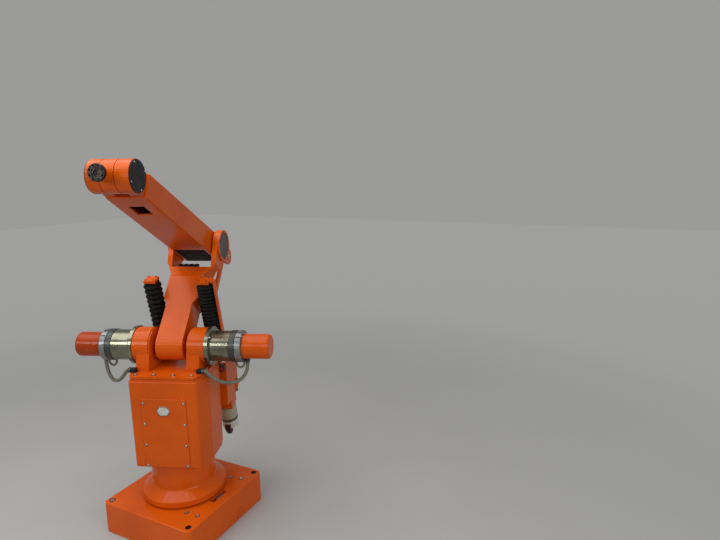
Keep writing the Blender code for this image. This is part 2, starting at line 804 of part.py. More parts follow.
# Lower arm, drawn upright along its own Z
lower = make_frame("lower_arm_frame", (0.0, 0.0, 0.0), turn_x=-LOWER_LEAN, parent=shoulder)
saddle = LOWER_LENGTH - SADDLE_DROP
ear_start = saddle + EAR_RISE
neck_start = saddle - SADDLE_NECK
front_outline = [
    (-FOOT_HALF, -FOOT_RADIUS),
    (FOOT_HALF, -FOOT_RADIUS),
    (FOOT_HALF, FOOT_TOP),
    (BEAM_HALF, BEAM_START),
    (BEAM_HALF, neck_start),
    (EAR_OUTER, ear_start),
    (EAR_OUTER, LOWER_LENGTH + BOSS_RADIUS),
    (-EAR_OUTER, LOWER_LENGTH + BOSS_RADIUS),
    (-EAR_OUTER, ear_start),
    (-BEAM_HALF, neck_start),
    (-BEAM_HALF, BEAM_START),
    (-FOOT_HALF, FOOT_TOP),
]
side_outline = [
    (FOOT_RADIUS * math.cos(math.radians(angle)), FOOT_RADIUS * math.sin(math.radians(angle)))
    for angle in range(180, 361, 12)
] + [
    (BEAM_REAR, FOOT_TOP - FOOT_RADIUS),
    (BEAM_REAR, neck_start),
    (SADDLE_REAR, saddle - SEAT_GAP),
    (EAR_RADIUS * math.sin(math.radians(100.0)), LOWER_LENGTH + EAR_RADIUS * math.cos(math.radians(120.0))),
] + [
    (EAR_RADIUS * math.cos(math.radians(angle)), LOWER_LENGTH + EAR_RADIUS * math.sin(math.radians(angle)))
    for angle in range(-12, 193, 12)
] + [
    (-(SADDLE_FRONT + EAR_RADIUS) / 2.0, saddle + SADDLE_NECK),
    (-SADDLE_FRONT, saddle),
    (-BEAM_FRONT, neck_start - EAR_RISE),
    (-BEAM_FRONT, FOOT_TOP - FOOT_RADIUS),
]
lower_casting = front_plate([front_outline], -2.0 * BOSS_RADIUS, 2.0 * BOSS_RADIUS)
boolean(lower_casting, side_plate([side_outline], -2.0 * EAR_OUTER, 2.0 * EAR_OUTER), "INTERSECT")
cut(lower_casting, span(
    (-EAR_INNER, -2.0 * BOSS_RADIUS, saddle),
    (EAR_INNER, 2.0 * BOSS_RADIUS, LOWER_LENGTH + 2.0 * BOSS_RADIUS),
))
elbow_at = (0.0, LOWER_LENGTH)
for side in (-1.0, 1.0):
    ends = sorted((side * EAR_INNER, side * BOSS_FACE))
    join(lower_casting, rod_along_x(BOSS_RADIUS, ends[0], ends[1], ROUND_STEPS, elbow_at))
    ends = sorted((side * (BOSS_FACE - BOSS_RECESS), side * (BOSS_FACE + RUN_GAP)))
    cut(lower_casting, rod_along_x(ELBOW_CAP_RADIUS + SEAT_GAP, ends[0], ends[1], ROUND_STEPS, elbow_at))
cut(lower_casting, rod_along_x(
    ELBOW_SHAFT_RADIUS + PIN_GAP,
    -2.0 * EAR_OUTER,
    2.0 * EAR_OUTER,
    ROUND_STEPS,
    elbow_at,
))
cut(lower_casting, rod_along_x(SHAFT_RADIUS + PIN_GAP, -EAR_OUTER, EAR_OUTER, ROUND_STEPS))
place(lower_casting, "lower_arm_casting", orange, lower)

for side, label in ((-1.0, "left"), (1.0, "right")):
    inner = side * (BOSS_FACE - BOSS_RECESS + SEAT_GAP)
    ends = sorted((inner, inner + side * ELBOW_CAP_THICK))
    elbow_cap = rod_along_x(ELBOW_CAP_RADIUS, ends[0], ends[1], ROUND_STEPS, elbow_at)
    place(elbow_cap, label + "_elbow_cap", grey_metal, lower)

# Crank on the left of the lower arm's foot, drawn in the shoulder frame at rest
lower_nut_at = arc_point(CRANK_RADIUS, LOWER_LEAN + CRANK_ANGLE)
crank_outer = FOOT_HALF + SEAT_GAP + CRANK_THICK
pin_end = UNIT_OFFSET - NUT_RADIUS - CRANK_PIN_GAP
lower_crank = side_plate(
    [link_outline((0.0, 0.0), CRANK_HUB, lower_nut_at, CRANK_END)],
    -crank_outer,
    -FOOT_HALF - SEAT_GAP,
)
join(lower_crank, rod_along_x(CRANK_PIN_RADIUS, -pin_end, -crank_outer + 0.002, SMALL_STEPS, lower_nut_at))
cut(lower_crank, rod_along_x(SHAFT_RADIUS + PIN_GAP, -EAR_OUTER, 0.0, ROUND_STEPS))
place(lower_crank, "lower_arm_crank", orange, lower, rotation=(LOWER_LEAN, 0.0, 0.0))

# Elbow shaft
elbow = make_frame("elbow_frame", (0.0, 0.0, LOWER_LENGTH), turn_x=LOWER_LEAN, parent=lower)
shaft_end = BOSS_FACE - BOSS_RECESS - SEAT_GAP
elbow_shaft = rod_along_x(ELBOW_SHAFT_RADIUS, -shaft_end, shaft_end)
place(elbow_shaft, "elbow_shaft", steel, elbow)

# Upper arm, drawn along its own Z with +Y on its top side
upper_turn = math.pi / 2.0 - UPPER_RISE
upper = make_frame("upper_arm_frame", (0.0, 0.0, 0.0), turn_x=upper_turn, parent=elbow)
arm_front = UPPER_LENGTH - WRIST_RADIUS - 0.012
arm_box = tapered_block(
    (-ARM_BACK, ARM_HALF_ELBOW, -ARM_BOTTOM_ELBOW, ARM_TOP_ELBOW),
    (arm_front, ARM_HALF_WRIST, -ARM_BOTTOM_WRIST, ARM_TOP_WRIST),
)
soften(arm_box, ARM_EDGE)
cavity_start = ELBOW_SHAFT_RADIUS + 0.025
cut(arm_box, tapered_block(
    (cavity_start, ARM_HALF_ELBOW - ARM_WALL, -ARM_BOTTOM_ELBOW + ARM_WALL, ARM_TOP_ELBOW - ARM_WALL),
    (arm_front - ARM_WALL, ARM_HALF_WRIST - ARM_WALL, -ARM_BOTTOM_WRIST + ARM_WALL, ARM_TOP_WRIST - ARM_WALL),
))
cut(arm_box, span(
    (-WINDOW_HALF, -2.0 * ARM_BOTTOM_ELBOW, WINDOW_START),
    (WINDOW_HALF, 0.0, WINDOW_END),
))
cut(arm_box, span(
    (-SLOT_HALF, -2.0 * ARM_BOTTOM_ELBOW, SLOT_START),
    (SLOT_HALF, 0.0, SLOT_END),
))
hub_low = HUB_CENTRE - HUB_HALF
hub_high = HUB_CENTRE + HUB_HALF
wrist_at = (0.0, UPPER_LENGTH)
for start, end in ((WRIST_LEFT, hub_low - WRIST_GAP), (hub_high + WRIST_GAP, WRIST_RIGHT)):
    prong = span(
        (start + (0.004 if start < 0.0 else 0.0), -ARM_TOP_WRIST + 0.002, arm_front - 0.004),
        (end - (0.004 if end > 0.04 else 0.0), ARM_TOP_WRIST - 0.002, UPPER_LENGTH),
    )
    barrel = rod_along_x(WRIST_RADIUS, start, end, ROUND_STEPS, wrist_at)
    join(arm_box, prong, barrel)
axle_room = WRIST_AXLE_LENGTH + WRIST_GAP + 0.001
cut(arm_box, rod_along_x(
    WRIST_AXLE_RADIUS + PIN_GAP,
    hub_low - axle_room,
    hub_high + axle_room,
    SMALL_STEPS,
    wrist_at,
))
for inner, outer in (
    (TAIL_OUTER - TAIL_LUG, TAIL_OUTER),
    (TAIL_INNER_LUG, TAIL_INNER_LUG + TAIL_LUG),
):
    lug = side_plate(
        [link_outline((0.0, -ARM_BACK + 0.020), TAIL_HALF, (0.0, -TAIL_RADIUS), TAIL_HALF)],
        inner,
        outer,
    )
    join(arm_box, lug)
tail_at = (0.0, -TAIL_RADIUS)
cut(arm_box, rod_along_x(ROD_PIN_RADIUS + PIN_GAP, 0.0, EAR_OUTER, SMALL_STEPS, tail_at))
cut(arm_box, rod_along_x(ELBOW_SHAFT_RADIUS + PIN_GAP, -EAR_OUTER, EAR_OUTER, ROUND_STEPS))
place(arm_box, "upper_arm_box", orange, upper)

left_wrist_cap = rod_along_x(
    WRIST_CAP_RADIUS,
    WRIST_LEFT - SEAT_GAP - WRIST_CAP_THICK,
    WRIST_LEFT - SEAT_GAP,
    ROUND_STEPS,
    wrist_at,
)
place(left_wrist_cap, "left_wrist_cap", dark_cap, upper)
right_wrist_cap = rod_along_x(
    WRIST_CAP_RADIUS,
    WRIST_RIGHT + SEAT_GAP,
    WRIST_RIGHT + SEAT_GAP + WRIST_CAP_THICK,
    ROUND_STEPS,
    wrist_at,
)
place(right_wrist_cap, "right_wrist_cap", dark_cap, upper)

# Wrist hub and tool flange
tool_turn = math.pi / 2.0 - TOOL_RISE
wrist = make_frame("wrist_frame", (0.0, 0.0, UPPER_LENGTH), turn_x=tool_turn - upper_turn, parent=upper)
wrist_hub = rod_along_x(WRIST_RADIUS, hub_low, hub_high)
join(wrist_hub, rod_along_x(
    WRIST_AXLE_RADIUS,
    hub_low - WRIST_GAP - WRIST_AXLE_LENGTH,
    hub_high + WRIST_GAP + WRIST_AXLE_LENGTH,
    SMALL_STEPS,
))
neck_end = TOOL_REACH - FLANGE_THICK - SEAT_GAP
join(wrist_hub, rod_along_z(NECK_TUBE_RADIUS, 0.0, neck_end, 32, (HUB_CENTRE, 0.0)))
place(wrist_hub, "wrist_hub", orange, wrist)

tool = make_frame("tool_frame", (HUB_CENTRE, 0.0, 0.0), parent=wrist)
flange_back = TOOL_REACH - FLANGE_THICK
tool_flange = turned([
    (0.0, TOOL_REACH - FLANGE_BORE_DEPTH),
    (FLANGE_BORE, TOOL_REACH - FLANGE_BORE_DEPTH),
    (FLANGE_BORE, TOOL_REACH),
    (FLANGE_RADIUS - 0.001, TOOL_REACH),
    (FLANGE_RADIUS, TOOL_REACH - 0.001),
    (FLANGE_RADIUS, flange_back),
    (0.0, flange_back),
], steps=32)
place(tool_flange, "tool_flange", dark_steel, tool)

# Rear lever on the shoulder axis, drawn in the shoulder frame at rest
lever = make_frame("lever_frame", (0.0, 0.0, 0.0), parent=shoulder)
tail_angle = math.pi / 2.0 + UPPER_RISE
rod_low_at = arc_point(TAIL_RADIUS, tail_angle)
lever_outer = LEVER_INNER + CRANK_THICK
upper_nut_at = arc_point(LEVER_NUT_RADIUS, tail_angle - LEVER_NUT_ANGLE)
rear_lever = side_plate(
    [link_outline((0.0, 0.0), CRANK_HUB, rod_low_at, CRANK_END)],
    LEVER_INNER,
    lever_outer,
)
join(
    rear_lever,
    side_plate(
        [link_outline((0.0, 0.0), CRANK_HUB - 0.001, upper_nut_at, CRANK_END)],
        LEVER_INNER,
        lever_outer,
    ),
    rod_along_x(CRANK_PIN_RADIUS, lever_outer - 0.002, pin_end, SMALL_STEPS, upper_nut_at),
)
cut(rear_lever, rod_along_x(SHAFT_RADIUS + PIN_GAP, 0.0, EAR_OUTER, ROUND_STEPS))
cut(rear_lever, rod_along_x(ROD_PIN_RADIUS + PIN_GAP, 0.0, lever_outer - 0.003, SMALL_STEPS, rod_low_at))
place(rear_lever, "rear_lever", orange, lever)

rod_low = make_frame("rod_low_frame", (0.0, rod_low_at[0], rod_low_at[1]), parent=lever)
rod_start = ROD_CENTRE - ROD_THICK / 2.0
rod_end = ROD_CENTRE + ROD_THICK / 2.0
rod_pin = rod_along_x(ROD_PIN_RADIUS, rod_start - 0.002, lever_outer - 0.003 - PIN_GAP, SMALL_STEPS)
place(rod_pin, "rod_lower_pin", steel, rod_low)

rod_frame = make_frame("rod_frame", (0.0, 0.0, 0.0), turn_x=-LOWER_LEAN, parent=rod_low)
rod_top_at = (0.0, LOWER_LENGTH)
parallel_rod = side_plate(
    [link_outline((0.0, 0.0), ROD_WIDTH / 2.0, rod_top_at, ROD_WIDTH / 2.0)],
    rod_start,
    rod_end,
)
join(
    parallel_rod,
    rod_along_x(ROD_EYE, rod_start, rod_end, SMALL_STEPS),
    rod_along_x(ROD_EYE, rod_start, rod_end, SMALL_STEPS, rod_top_at),
    rod_along_x(ROD_PIN_RADIUS, TAIL_INNER_LUG + 0.002, TAIL_OUTER - 0.002, SMALL_STEPS, rod_top_at),
)
cut(parallel_rod, rod_along_x(ROD_PIN_RADIUS + PIN_GAP, 0.0, EAR_OUTER, SMALL_STEPS))
place(parallel_rod, "parallel_rod", orange, rod_frame)

# Screw units, one each side, drawn upright along their own Z
for side, label, nut_at in ((-1.0, "lower", lower_nut_at), (1.0, "upper", upper_nut_at)):
    nut_run = TRUNNION_Y - nut_at[0]
    nut_climb = SHOULDER_HEIGHT + nut_at[1] - TRUNNION_Z
    nut_rest = math.hypot(nut_run, nut_climb)
    unit = make_frame(
        label + "_drive_frame",
        (side * UNIT_OFFSET, TRUNNION_Y, TRUNNION_Z),
        turn_x=math.atan2(nut_run, nut_climb),
        parent=column,
    )
    yoke = tapered_block(
        (YOKE_BOTTOM, YOKE_HALF - 0.002, -YOKE_DEPTH, YOKE_DEPTH),
        (YOKE_TOP, YOKE_HALF, -YOKE_DEPTH, YOKE_DEPTH),
    )
    soften(yoke, 0.003)
    inner_pin = UNIT_OFFSET - BRACKET_INNER[0] - 0.002
    outer_pin = BRACKET_OUTER[1] - UNIT_OFFSET - 0.002
    ends = (-inner_pin, outer_pin) if side > 0.0 else (-outer_pin, inner_pin)
    join(yoke, rod_along_x(TRUNNION_RADIUS, ends[0], ends[1], SMALL_STEPS))
    place(yoke, label + "_drive_yoke", orange, unit)

    motor_top = YOKE_BOTTOM - SEAT_GAP
    motor_bottom = motor_top - SCREW_MOTOR_LENGTH
    band_at = motor_top - SCREW_MOTOR_BAND
    screw_motor = turned([
        (0.0, motor_top),
        (SCREW_MOTOR_RADIUS - 0.004, motor_top),
        (SCREW_MOTOR_RADIUS - 0.004, motor_top - 0.004),
        (SCREW_MOTOR_RADIUS, motor_top - 0.004),
        (SCREW_MOTOR_RADIUS, band_at),
        (SCREW_MOTOR_RADIUS - MOTOR_EDGE, band_at - MOTOR_EDGE),
        (SCREW_MOTOR_RADIUS - MOTOR_EDGE, band_at - 2.0 * MOTOR_EDGE),
        (SCREW_MOTOR_RADIUS, band_at - 3.0 * MOTOR_EDGE),
        (SCREW_MOTOR_RADIUS, motor_bottom + 0.004),
        (SCREW_MOTOR_RADIUS - 0.004, motor_bottom),
        (0.0, motor_bottom),
    ], steps=32)
    place(screw_motor, label + "_drive_motor", olive, unit)

    plug_top = motor_bottom - SEAT_GAP
    motor_plug = turned([
        (0.0, plug_top),
        (PLUG_RADIUS, plug_top),
        (PLUG_RADIUS, plug_top - PLUG_LENGTH * 0.6),
        (PLUG_RADIUS * 0.7, plug_top - PLUG_LENGTH),
        (0.0, plug_top - PLUG_LENGTH),
    ], steps=SMALL_STEPS)
    place(motor_plug, label + "_drive_plug", plug_brown, unit, (PLUG_SHIFT, 0.0, 0.0))

    cap_top = UNIT_CAP_BOTTOM + UNIT_CAP_THICK
    screw_top = cap_top - SCREW_END_GAP
    drive_screw = rod_along_z(SCREW_RADIUS, YOKE_TOP + SEAT_GAP, screw_top, SMALL_STEPS)
    place(drive_screw, label + "_drive_screw", steel, unit)

    unit_cap = block(
        (UNIT_CAP_SIDE, UNIT_CAP_SIDE, UNIT_CAP_THICK),
        (0.0, 0.0, (cap_top + UNIT_CAP_BOTTOM) / 2.0),
    )
    soften(unit_cap, 0.002)
    cut(unit_cap, rod_along_z(SCREW_RADIUS + PIN_GAP, 0.0, screw_top + PIN_GAP, SMALL_STEPS))
    place(unit_cap, label + "_drive_cap", orange, unit)

    nut_frame = make_frame(label + "_nut_frame", (0.0, 0.0, nut_rest), parent=unit)
    nut = rod_along_z(NUT_RADIUS, -NUT_HALF, NUT_HALF, 32)
    soften(nut, 0.002, 1)
    cut(nut, rod_along_z(SCREW_RADIUS + PIN_GAP, -2.0 * NUT_HALF, 2.0 * NUT_HALF, SMALL_STEPS))
    place(nut, label + "_nut", dark_steel, nut_frame)

    bellows_low = nut_rest + NUT_HALF + SEAT_GAP
    bellows_high = UNIT_CAP_BOTTOM - SEAT_GAP
    fold = (bellows_high - bellows_low) / BELLOWS_FOLDS
    folds = [(BELLOWS_INNER, bellows_high)]
    for i in range(BELLOWS_FOLDS):
        folds.append((BELLOWS_OUTER, bellows_high - (i + 0.5) * fold))
        folds.append((BELLOWS_INNER, bellows_high - (i + 1.0) * fold))
    folds.append((BELLOWS_BORE, bellows_low))
    folds.append((BELLOWS_BORE, bellows_high))
    bellows = turned(folds, closed=True, steps=16)
    place(bellows, label + "_bellows", rubber, unit)

    if side > 0.0:
        rail_face = BELLOWS_OUTER + RAIL_GAP
        rail_centre = rail_face + RAIL_THICK / 2.0
        rail = span(
            (rail_face, -RAIL_WIDTH / 2.0, 0.0),
            (rail_face + RAIL_THICK, RAIL_WIDTH / 2.0, cap_top - 0.001),
        )
        join(rail, span(
            (UNIT_CAP_SIDE / 2.0 + SEAT_GAP, -RAIL_WIDTH / 2.0, UNIT_CAP_BOTTOM + 0.003),
            (rail_face + RAIL_THICK / 2.0, RAIL_WIDTH / 2.0, cap_top - 0.001),
        ))
        cut(rail, rod_along_x(
            TRUNNION_RADIUS + PIN_GAP,
            0.0,
            rail_face + 2.0 * RAIL_THICK,
            SMALL_STEPS,
        ))
        place(rail, "guide_rail", orange, unit)

# Motor cables from the rings over the lid's edge into glands, and a short lead under each ring
def tube(name, route, radius):
    """A round cable along the points of a route."""
    curve = bpy.data.curves.new(name, "CURVE")
    curve.dimensions = "3D"
    curve.bevel_depth = radius
    curve.bevel_resolution = 2
    curve.use_fill_caps = True
    spline = curve.splines.new("POLY")
    spline.points.add(len(route) - 1)
    for point, where in zip(spline.points, route):
        point.co = (where.x, where.y, where.z, 1.0)
    cable = bpy.data.objects.new(name, curve)
    parts.objects.link(cable)
    cable.data.materials.append(sheath)
    cable.parent = column
    return cable


def smooth_route(guides, count):
    """Points along the curve that a list of guide points draws."""
    order = len(guides) - 1
    route = []
    for i in range(count):
        t = i / (count - 1)
        where = Vector((0.0, 0.0, 0.0))
        for k, guide in enumerate(guides):
            where += math.comb(order, k) * (1.0 - t) ** (order - k) * t ** k * guide
        route.append(where)
    return route


gland_height = lid_top + SEAT_GAP + GLAND_RADIUS
gland_outer = BODY_HALF - LID_EDGE - GLAND_INSET
ring_under = SHOULDER_HEIGHT - MOTOR_RING_RADIUS - SEAT_GAP
body_under = SHOULDER_HEIGHT - MOTOR_RADIUS - SEAT_GAP
for side, label in ((-1.0, "left"), (1.0, "right")):
    start = Vector((side * (LEAD_SPLIT + CABLE_START_INSET), 0.0, SHOULDER_HEIGHT - MOTOR_CAP_RADIUS - SEAT_GAP))
    end = Vector((side * (gland_outer + SEAT_GAP), CABLE_END_Y, gland_height))
    leave = start - Vector((0.0, 0.0, CABLE_STRAIGHT))
    arrive = end + Vector((side * CABLE_STRAIGHT, 0.0, 0.0))
    low_z = BODY_TOP - CABLE_LOW
    route = [start] + smooth_route([
        leave,
        Vector((start.x, start.y, low_z)),
        Vector((side * (BODY_HALF + LEAD_DROP * 3.0), end.y / 3.0, low_z - CABLE_RADIUS)),
        Vector((side * (BODY_HALF + LEAD_DROP), end.y, low_z + CABLE_RADIUS)),
        arrive + Vector((side * CABLE_OVER, 0.0, 0.0)),
        arrive,
    ], CABLE_POINTS) + [end]
    tube(label + "_cable_1", route, CABLE_RADIUS)

    lead_start = Vector((side * LEAD_SPLIT, 0.0, ring_under))
    lead_end = Vector((side * LEAD_END, 0.0, ring_under))
    dip = Vector((0.0, 0.0, LEAD_DROP))
    stub = Vector((0.0, 0.0, LEAD_RADIUS))
    tube(label + "_cable_2", [lead_start] + smooth_route([
        lead_start - stub,
        lead_start - dip,
        lead_end - dip,
        lead_end - stub,
    ], LEAD_POINTS) + [lead_end], LEAD_RADIUS)

    gland = span(
        (gland_outer - GLAND_LENGTH, CABLE_END_Y - GLAND_RADIUS, lid_top + SEAT_GAP),
        (gland_outer, CABLE_END_Y + GLAND_RADIUS, gland_height + GLAND_RADIUS),
    )
    soften(gland, MOTOR_EDGE, 1)
    if side < 0.0:
        move_mesh(gland, Matrix.Scale(-1.0, 4, Vector((1.0, 0.0, 0.0))))
        gland.data.flip_normals()
    place(gland, label + "_cable_gland", dark_cap, column)
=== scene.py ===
"""Looks of the industrial robot arm: paint, metal, rubber, fasteners, cables and studio.

Units are metres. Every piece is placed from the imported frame: the joints give the moving
frames, and the boxes of the nodes give the faces that the small pieces sit on.
"""

import json
import math

import bmesh
import bpy
from mathutils import Matrix, Vector


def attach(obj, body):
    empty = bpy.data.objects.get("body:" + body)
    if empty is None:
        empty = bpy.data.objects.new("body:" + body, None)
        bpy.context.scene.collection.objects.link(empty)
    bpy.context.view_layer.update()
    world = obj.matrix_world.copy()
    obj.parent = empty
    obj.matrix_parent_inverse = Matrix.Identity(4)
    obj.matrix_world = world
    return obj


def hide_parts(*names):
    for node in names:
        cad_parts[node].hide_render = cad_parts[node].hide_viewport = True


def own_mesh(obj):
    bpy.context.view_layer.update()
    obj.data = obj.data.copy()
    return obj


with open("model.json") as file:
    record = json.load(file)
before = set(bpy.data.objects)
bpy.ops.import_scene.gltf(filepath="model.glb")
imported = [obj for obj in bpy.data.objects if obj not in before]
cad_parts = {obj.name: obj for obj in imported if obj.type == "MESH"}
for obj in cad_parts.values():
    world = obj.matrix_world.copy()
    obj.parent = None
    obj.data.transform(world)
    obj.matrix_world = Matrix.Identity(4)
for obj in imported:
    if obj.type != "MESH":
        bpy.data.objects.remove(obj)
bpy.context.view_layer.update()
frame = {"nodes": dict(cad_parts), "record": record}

# Camera
CAMERA_PLACE = (1.4425, -1.4054, 1.331)
CAMERA_YAW = math.radians(25.54)
CAMERA_PITCH = math.radians(-10.588)
CAMERA_ROLL = math.radians(-0.636)
CAMERA_LENS = 26.38
CAMERA_SENSOR = 36.0
CAMERA_NEAR = 0.05

# Motor cables, with the same sizes as their solids; the fittings' profiles are
# (share of the cable's radius, height, sides)
CABLE_RADIUS = 0.0065
CABLE_START_INSET = 0.013
CABLE_LOW = 0.045
CABLE_OVER = 0.014
CABLE_END_Y = -0.085
CABLE_STRAIGHT = 0.010
CABLE_POINTS = 20
LEAD_RADIUS = 0.004
LEAD_SPLIT = 0.262
LEAD_END = 0.232
LEAD_DROP = 0.030
LEAD_POINTS = 9
SEAT_GAP = 0.0003
CABLE_COLLAR = (
    (1.02, -0.016, 0),
    (1.18, -0.016, 0),
    (1.30, -0.009, 0),
    (1.45, -0.009, 6),
    (1.45, -0.001, 6),
    (1.02, -0.001, 0),
)
GLAND_NUT = ((1.02, 0.0, 0), (1.35, 0.0, 6), (1.35, 0.007, 6), (1.15, 0.010, 0), (1.02, 0.010, 0))

# Fasteners, as (radius, height) of the head, and the heights of the dark washers, which paint a ring of
# shade around the heads
CAP_SCREW = (0.0042, 0.0040)
SMALL_SCREW = (0.0030, 0.0016)
COVER_SCREW = (0.0040, 0.0020)
LID_SCREW = (0.0056, 0.0042)
BASE_SCREW = (0.0056, 0.0030)
BADGE_RIVET = (0.0013, 0.0007)
THIN_SHADE_WASHER = 0.0005
THICK_SHADE_WASHER = 0.0006
SMOOTH_ANGLE = math.radians(40.0)

# Screw units; a band is (distance from the motor's upper end, colour)
MOTOR_BANDS = (
    (0.053, (0.60, 0.58, 0.50)),
    (0.056, (0.110, 0.115, 0.045)),
    (0.074, (0.72, 0.71, 0.68)),
)
MOTOR_OLIVE = (0.44, 0.42, 0.30)
BELLOWS_FOLDS = 14
BELLOWS_STEPS = 10
BELLOWS_CUFF = 0.006
BELLOWS_DEPTH = 0.0062
BELLOWS_WALL = 0.004
BELLOWS_LIP = 0.001
BELLOWS_ROUNDING = 0.7
THREAD_PITCH = 0.006
THREAD_DEPTH = 0.0013
THREAD_SEGMENTS = 20
THREAD_PROFILE = ((THREAD_DEPTH, 0.0), (0.0, 0.32), (0.0, 0.52), (THREAD_DEPTH, 0.84))
UNIT_SCREW_INSET = 0.008
YOKE_SCREW_ACROSS = 0.020
YOKE_HALF = 0.032
YOKE_SCREW_INSET = 0.012
CONNECTOR_HALF = 0.012
CONNECTOR_PROUD = 0.010
CONNECTOR_SUNK = 0.006
CONNECTOR_START = 0.003
CONNECTOR_HEIGHT = 0.026
CONNECTOR_EDGE = 0.0015

# Brackets and the tail of the upper arm; profiles are (radius, height, sides)
BEARING_CAP = [
    (0.0, 0.0, 0),
    (0.0150, 0.0, 0),
    (0.0150, 0.0022, 0),
    (0.0140, 0.0032, 0),
    (0.0085, 0.0032, 0),
    (0.0078, 0.0020, 0),
    (0.0, 0.0020, 0),
]
BEARING_SCREW_RISES = (-0.0215, 0.0260)
PIN_HEAD = [
    (0.0, 0.0, 0),
    (0.0125, 0.0, 0),
    (0.0125, 0.0015, 0),
    (0.0100, 0.0016, 0),
    (0.0098, 0.0034, 0),
    (0.0088, 0.0040, 0),
    (0.0046, 0.0040, 6),
    (0.0044, 0.0018, 6),
    (0.0, 0.0016, 0),
]
TAIL_RADIUS = 0.160
TAIL_LUG_FACES = (("outer", 0.075, 1.0), ("inner", 0.024, -1.0))
KNOB_RADIUS = 0.0150
KNOB_EDGE_GAP = 0.0005
KNOB_SEGMENTS = 64
KNOB_FLUTES = 8
KNOB_FLUTE_DEPTH = 0.07
KNOB_FLUTES_FROM = 0.007
KNOB_FLUTES_INNER = 0.9
KNOB_PROFILE = (
    (0.0, 0.0),
    (0.62, 0.0),
    (0.62, 0.006),
    (0.98, 0.0075),
    (1.0, 0.010),
    (1.0, 0.019),
    (0.94, 0.021),
    (0.66, 0.0215),
)
KNOB_CAP = ((0.0, 0.0200), (0.66, 0.0200), (0.64, 0.0222), (0.40, 0.0234), (0.0, 0.0238))

# Wrist motors
FLANGE_THICK = 0.0147
BARREL_GAP = 0.002
MOTOR_SCREWS = 4
RING_SCREW_RADIUS = 0.0525
VENT_ANGLES = (math.radians(50.0), math.radians(74.0))
VENT_FROM = 0.2455
VENT_TO = 0.2620
VENT_HALF = 0.0028
VENT_PROUD = 0.0010
VENT_RADIUS = 0.0586
VENT_EDGE = 0.0004

# Arms
ELBOW_SCREWS = 6
ELBOW_SCREW_RADIUS = 0.057
WRIST_SCREWS = 4
WRIST_SCREW_RADIUS = 0.0445
ARM_BOTTOM_ELBOW = 0.052
ARM_BOTTOM_WRIST = 0.042
ARM_BACK = 0.055
ARM_FRONT_INSET = 0.064
SLOT_HALF = 0.018
SLOT_START = 0.570
SLOT_END = 0.588
SLOT_PLATE_THICK = 0.005
# Bounds of a black sheet on the upper arm's underside near the elbow, which paints the shade under the
# arm
SHADE_SHEET_START = -0.048
SHADE_SHEET_END = 0.099
SHADE_SHEET_HALF = 0.062
SHADE_SHEET_PROUD = 0.0006
SHADE_SHEET_SUNK = 0.0010
SADDLE_DROP = 0.120
# A foot and black blocks between the fork's ears, which paint the shade in the gap below the elbow
SHADE_BLOCK_TOP = 0.0865
SHADE_BLOCK_THICK = 0.018
SHADE_BLOCK_PLACES = (-0.060, -0.038, -0.016, 0.006)
SHADE_BLOCK_DEPTH = (-0.004, 0.008)
SHADE_BLOCK_SKEW = 0.008
SHADE_BLOCK_FOOT = (0.072, 0.012, 0.006)
SHADE_BLOCK_EDGE = 0.0012

# Column and base
COVER_SCREW_INSET = 0.009
COVER_SCREW_BOTTOM = 0.006
COVER_SCREW_TOP = 0.016
COVER_ROWS = 4
LID_FRONT_SCREWS = (-0.104, -0.036, 0.034, 0.101)
LID_BACK_SCREWS = (-0.100, -0.036, 0.036, 0.100)
LID_FRONT_INSET = 0.018
LID_BACK_INSET = 0.016
LID_SIDE_SCREWS = ((-0.131, 0.131), (-0.040, 0.035))
BADGE_OUTLINE = ((-1.0, 0.0), (-0.55, -1.0), (0.55, -1.0), (1.0, 0.0), (0.55, 1.0), (-0.55, 1.0))
BADGE_BORDER = ((0.985, 0.0), (0.985, 0.0003), (0.90, 0.0003), (0.90, 0.0))
BADGE_RIVET_PLACE = 0.0195
BASE_SCREW_PLACES = ((0.124, -0.127), (0.172, -0.125), (0.122, 0.122), (0.168, 0.130))
CORNER_INSET = 0.023
CORNER_SEGMENTS = 24
HOLE_PLUG = [
    (0.0, -0.002, 0),
    (0.0075, -0.002, 0),
    (0.0075, 0.0002, 0),
    (0.0108, 0.0002, 0),
    (0.0104, 0.0009, 0),
    (0.0060, 0.0005, 0),
    (0.0, 0.0003, 0),
]
CORNER_WASHER = [(0.0076, 0.0002, 0), (0.0112, 0.0002, 0), (0.0110, 0.0012, 0), (0.0076, 0.0012, 0)]
CORNER_BOLT = [
    (0.0, -0.020, 0),
    (0.0074, -0.020, 0),
    (0.0074, 0.0005, 0),
    (0.0068, 0.0014, 0),
    (0.0036, 0.0014, 6),
    (0.0034, -0.0040, 6),
    (0.0, -0.0044, 0),
]

# Tool flange; the profile is (share of the radius, depth under the face)
FLANGE_INSET = 0.00005
FLANGE_EDGE = 0.001
FLANGE_SEGMENTS = 64
FLANGE_PROFILE = (
    (0.56, 0.0),
    (0.54, 0.002),
    (0.36, 0.002),
    (0.34, 0.006),
    (0.18, 0.006),
    (0.16, 0.008),
    (0.0, 0.008),
)
FLANGE_HOLES = 8
FLANGE_HOLE_CIRCLE = 0.78
FLANGE_HOLE_RADIUS = 0.0024
FLANGE_HOLE_DEPTH = 0.012
FLANGE_HOLE_SEGMENTS = 16
FLANGE_SMOOTH_ANGLE = math.radians(35.0)

# Studio
FLOOR_SIZE = 12.0
FLOOR_DROP = 0.0005
FLOOR_TONES = [(0.30, (0.430, 0.427, 0.415)), (0.80, (0.468, 0.464, 0.451))]
FLOOR_FADE = (0.7, 3.4)
WORLD_STRENGTH = 0.41
WORLD_COLOUR = (0.80, 0.80, 0.79)
BACKDROP = [channel * WORLD_STRENGTH for channel in WORLD_COLOUR] + [1.0]

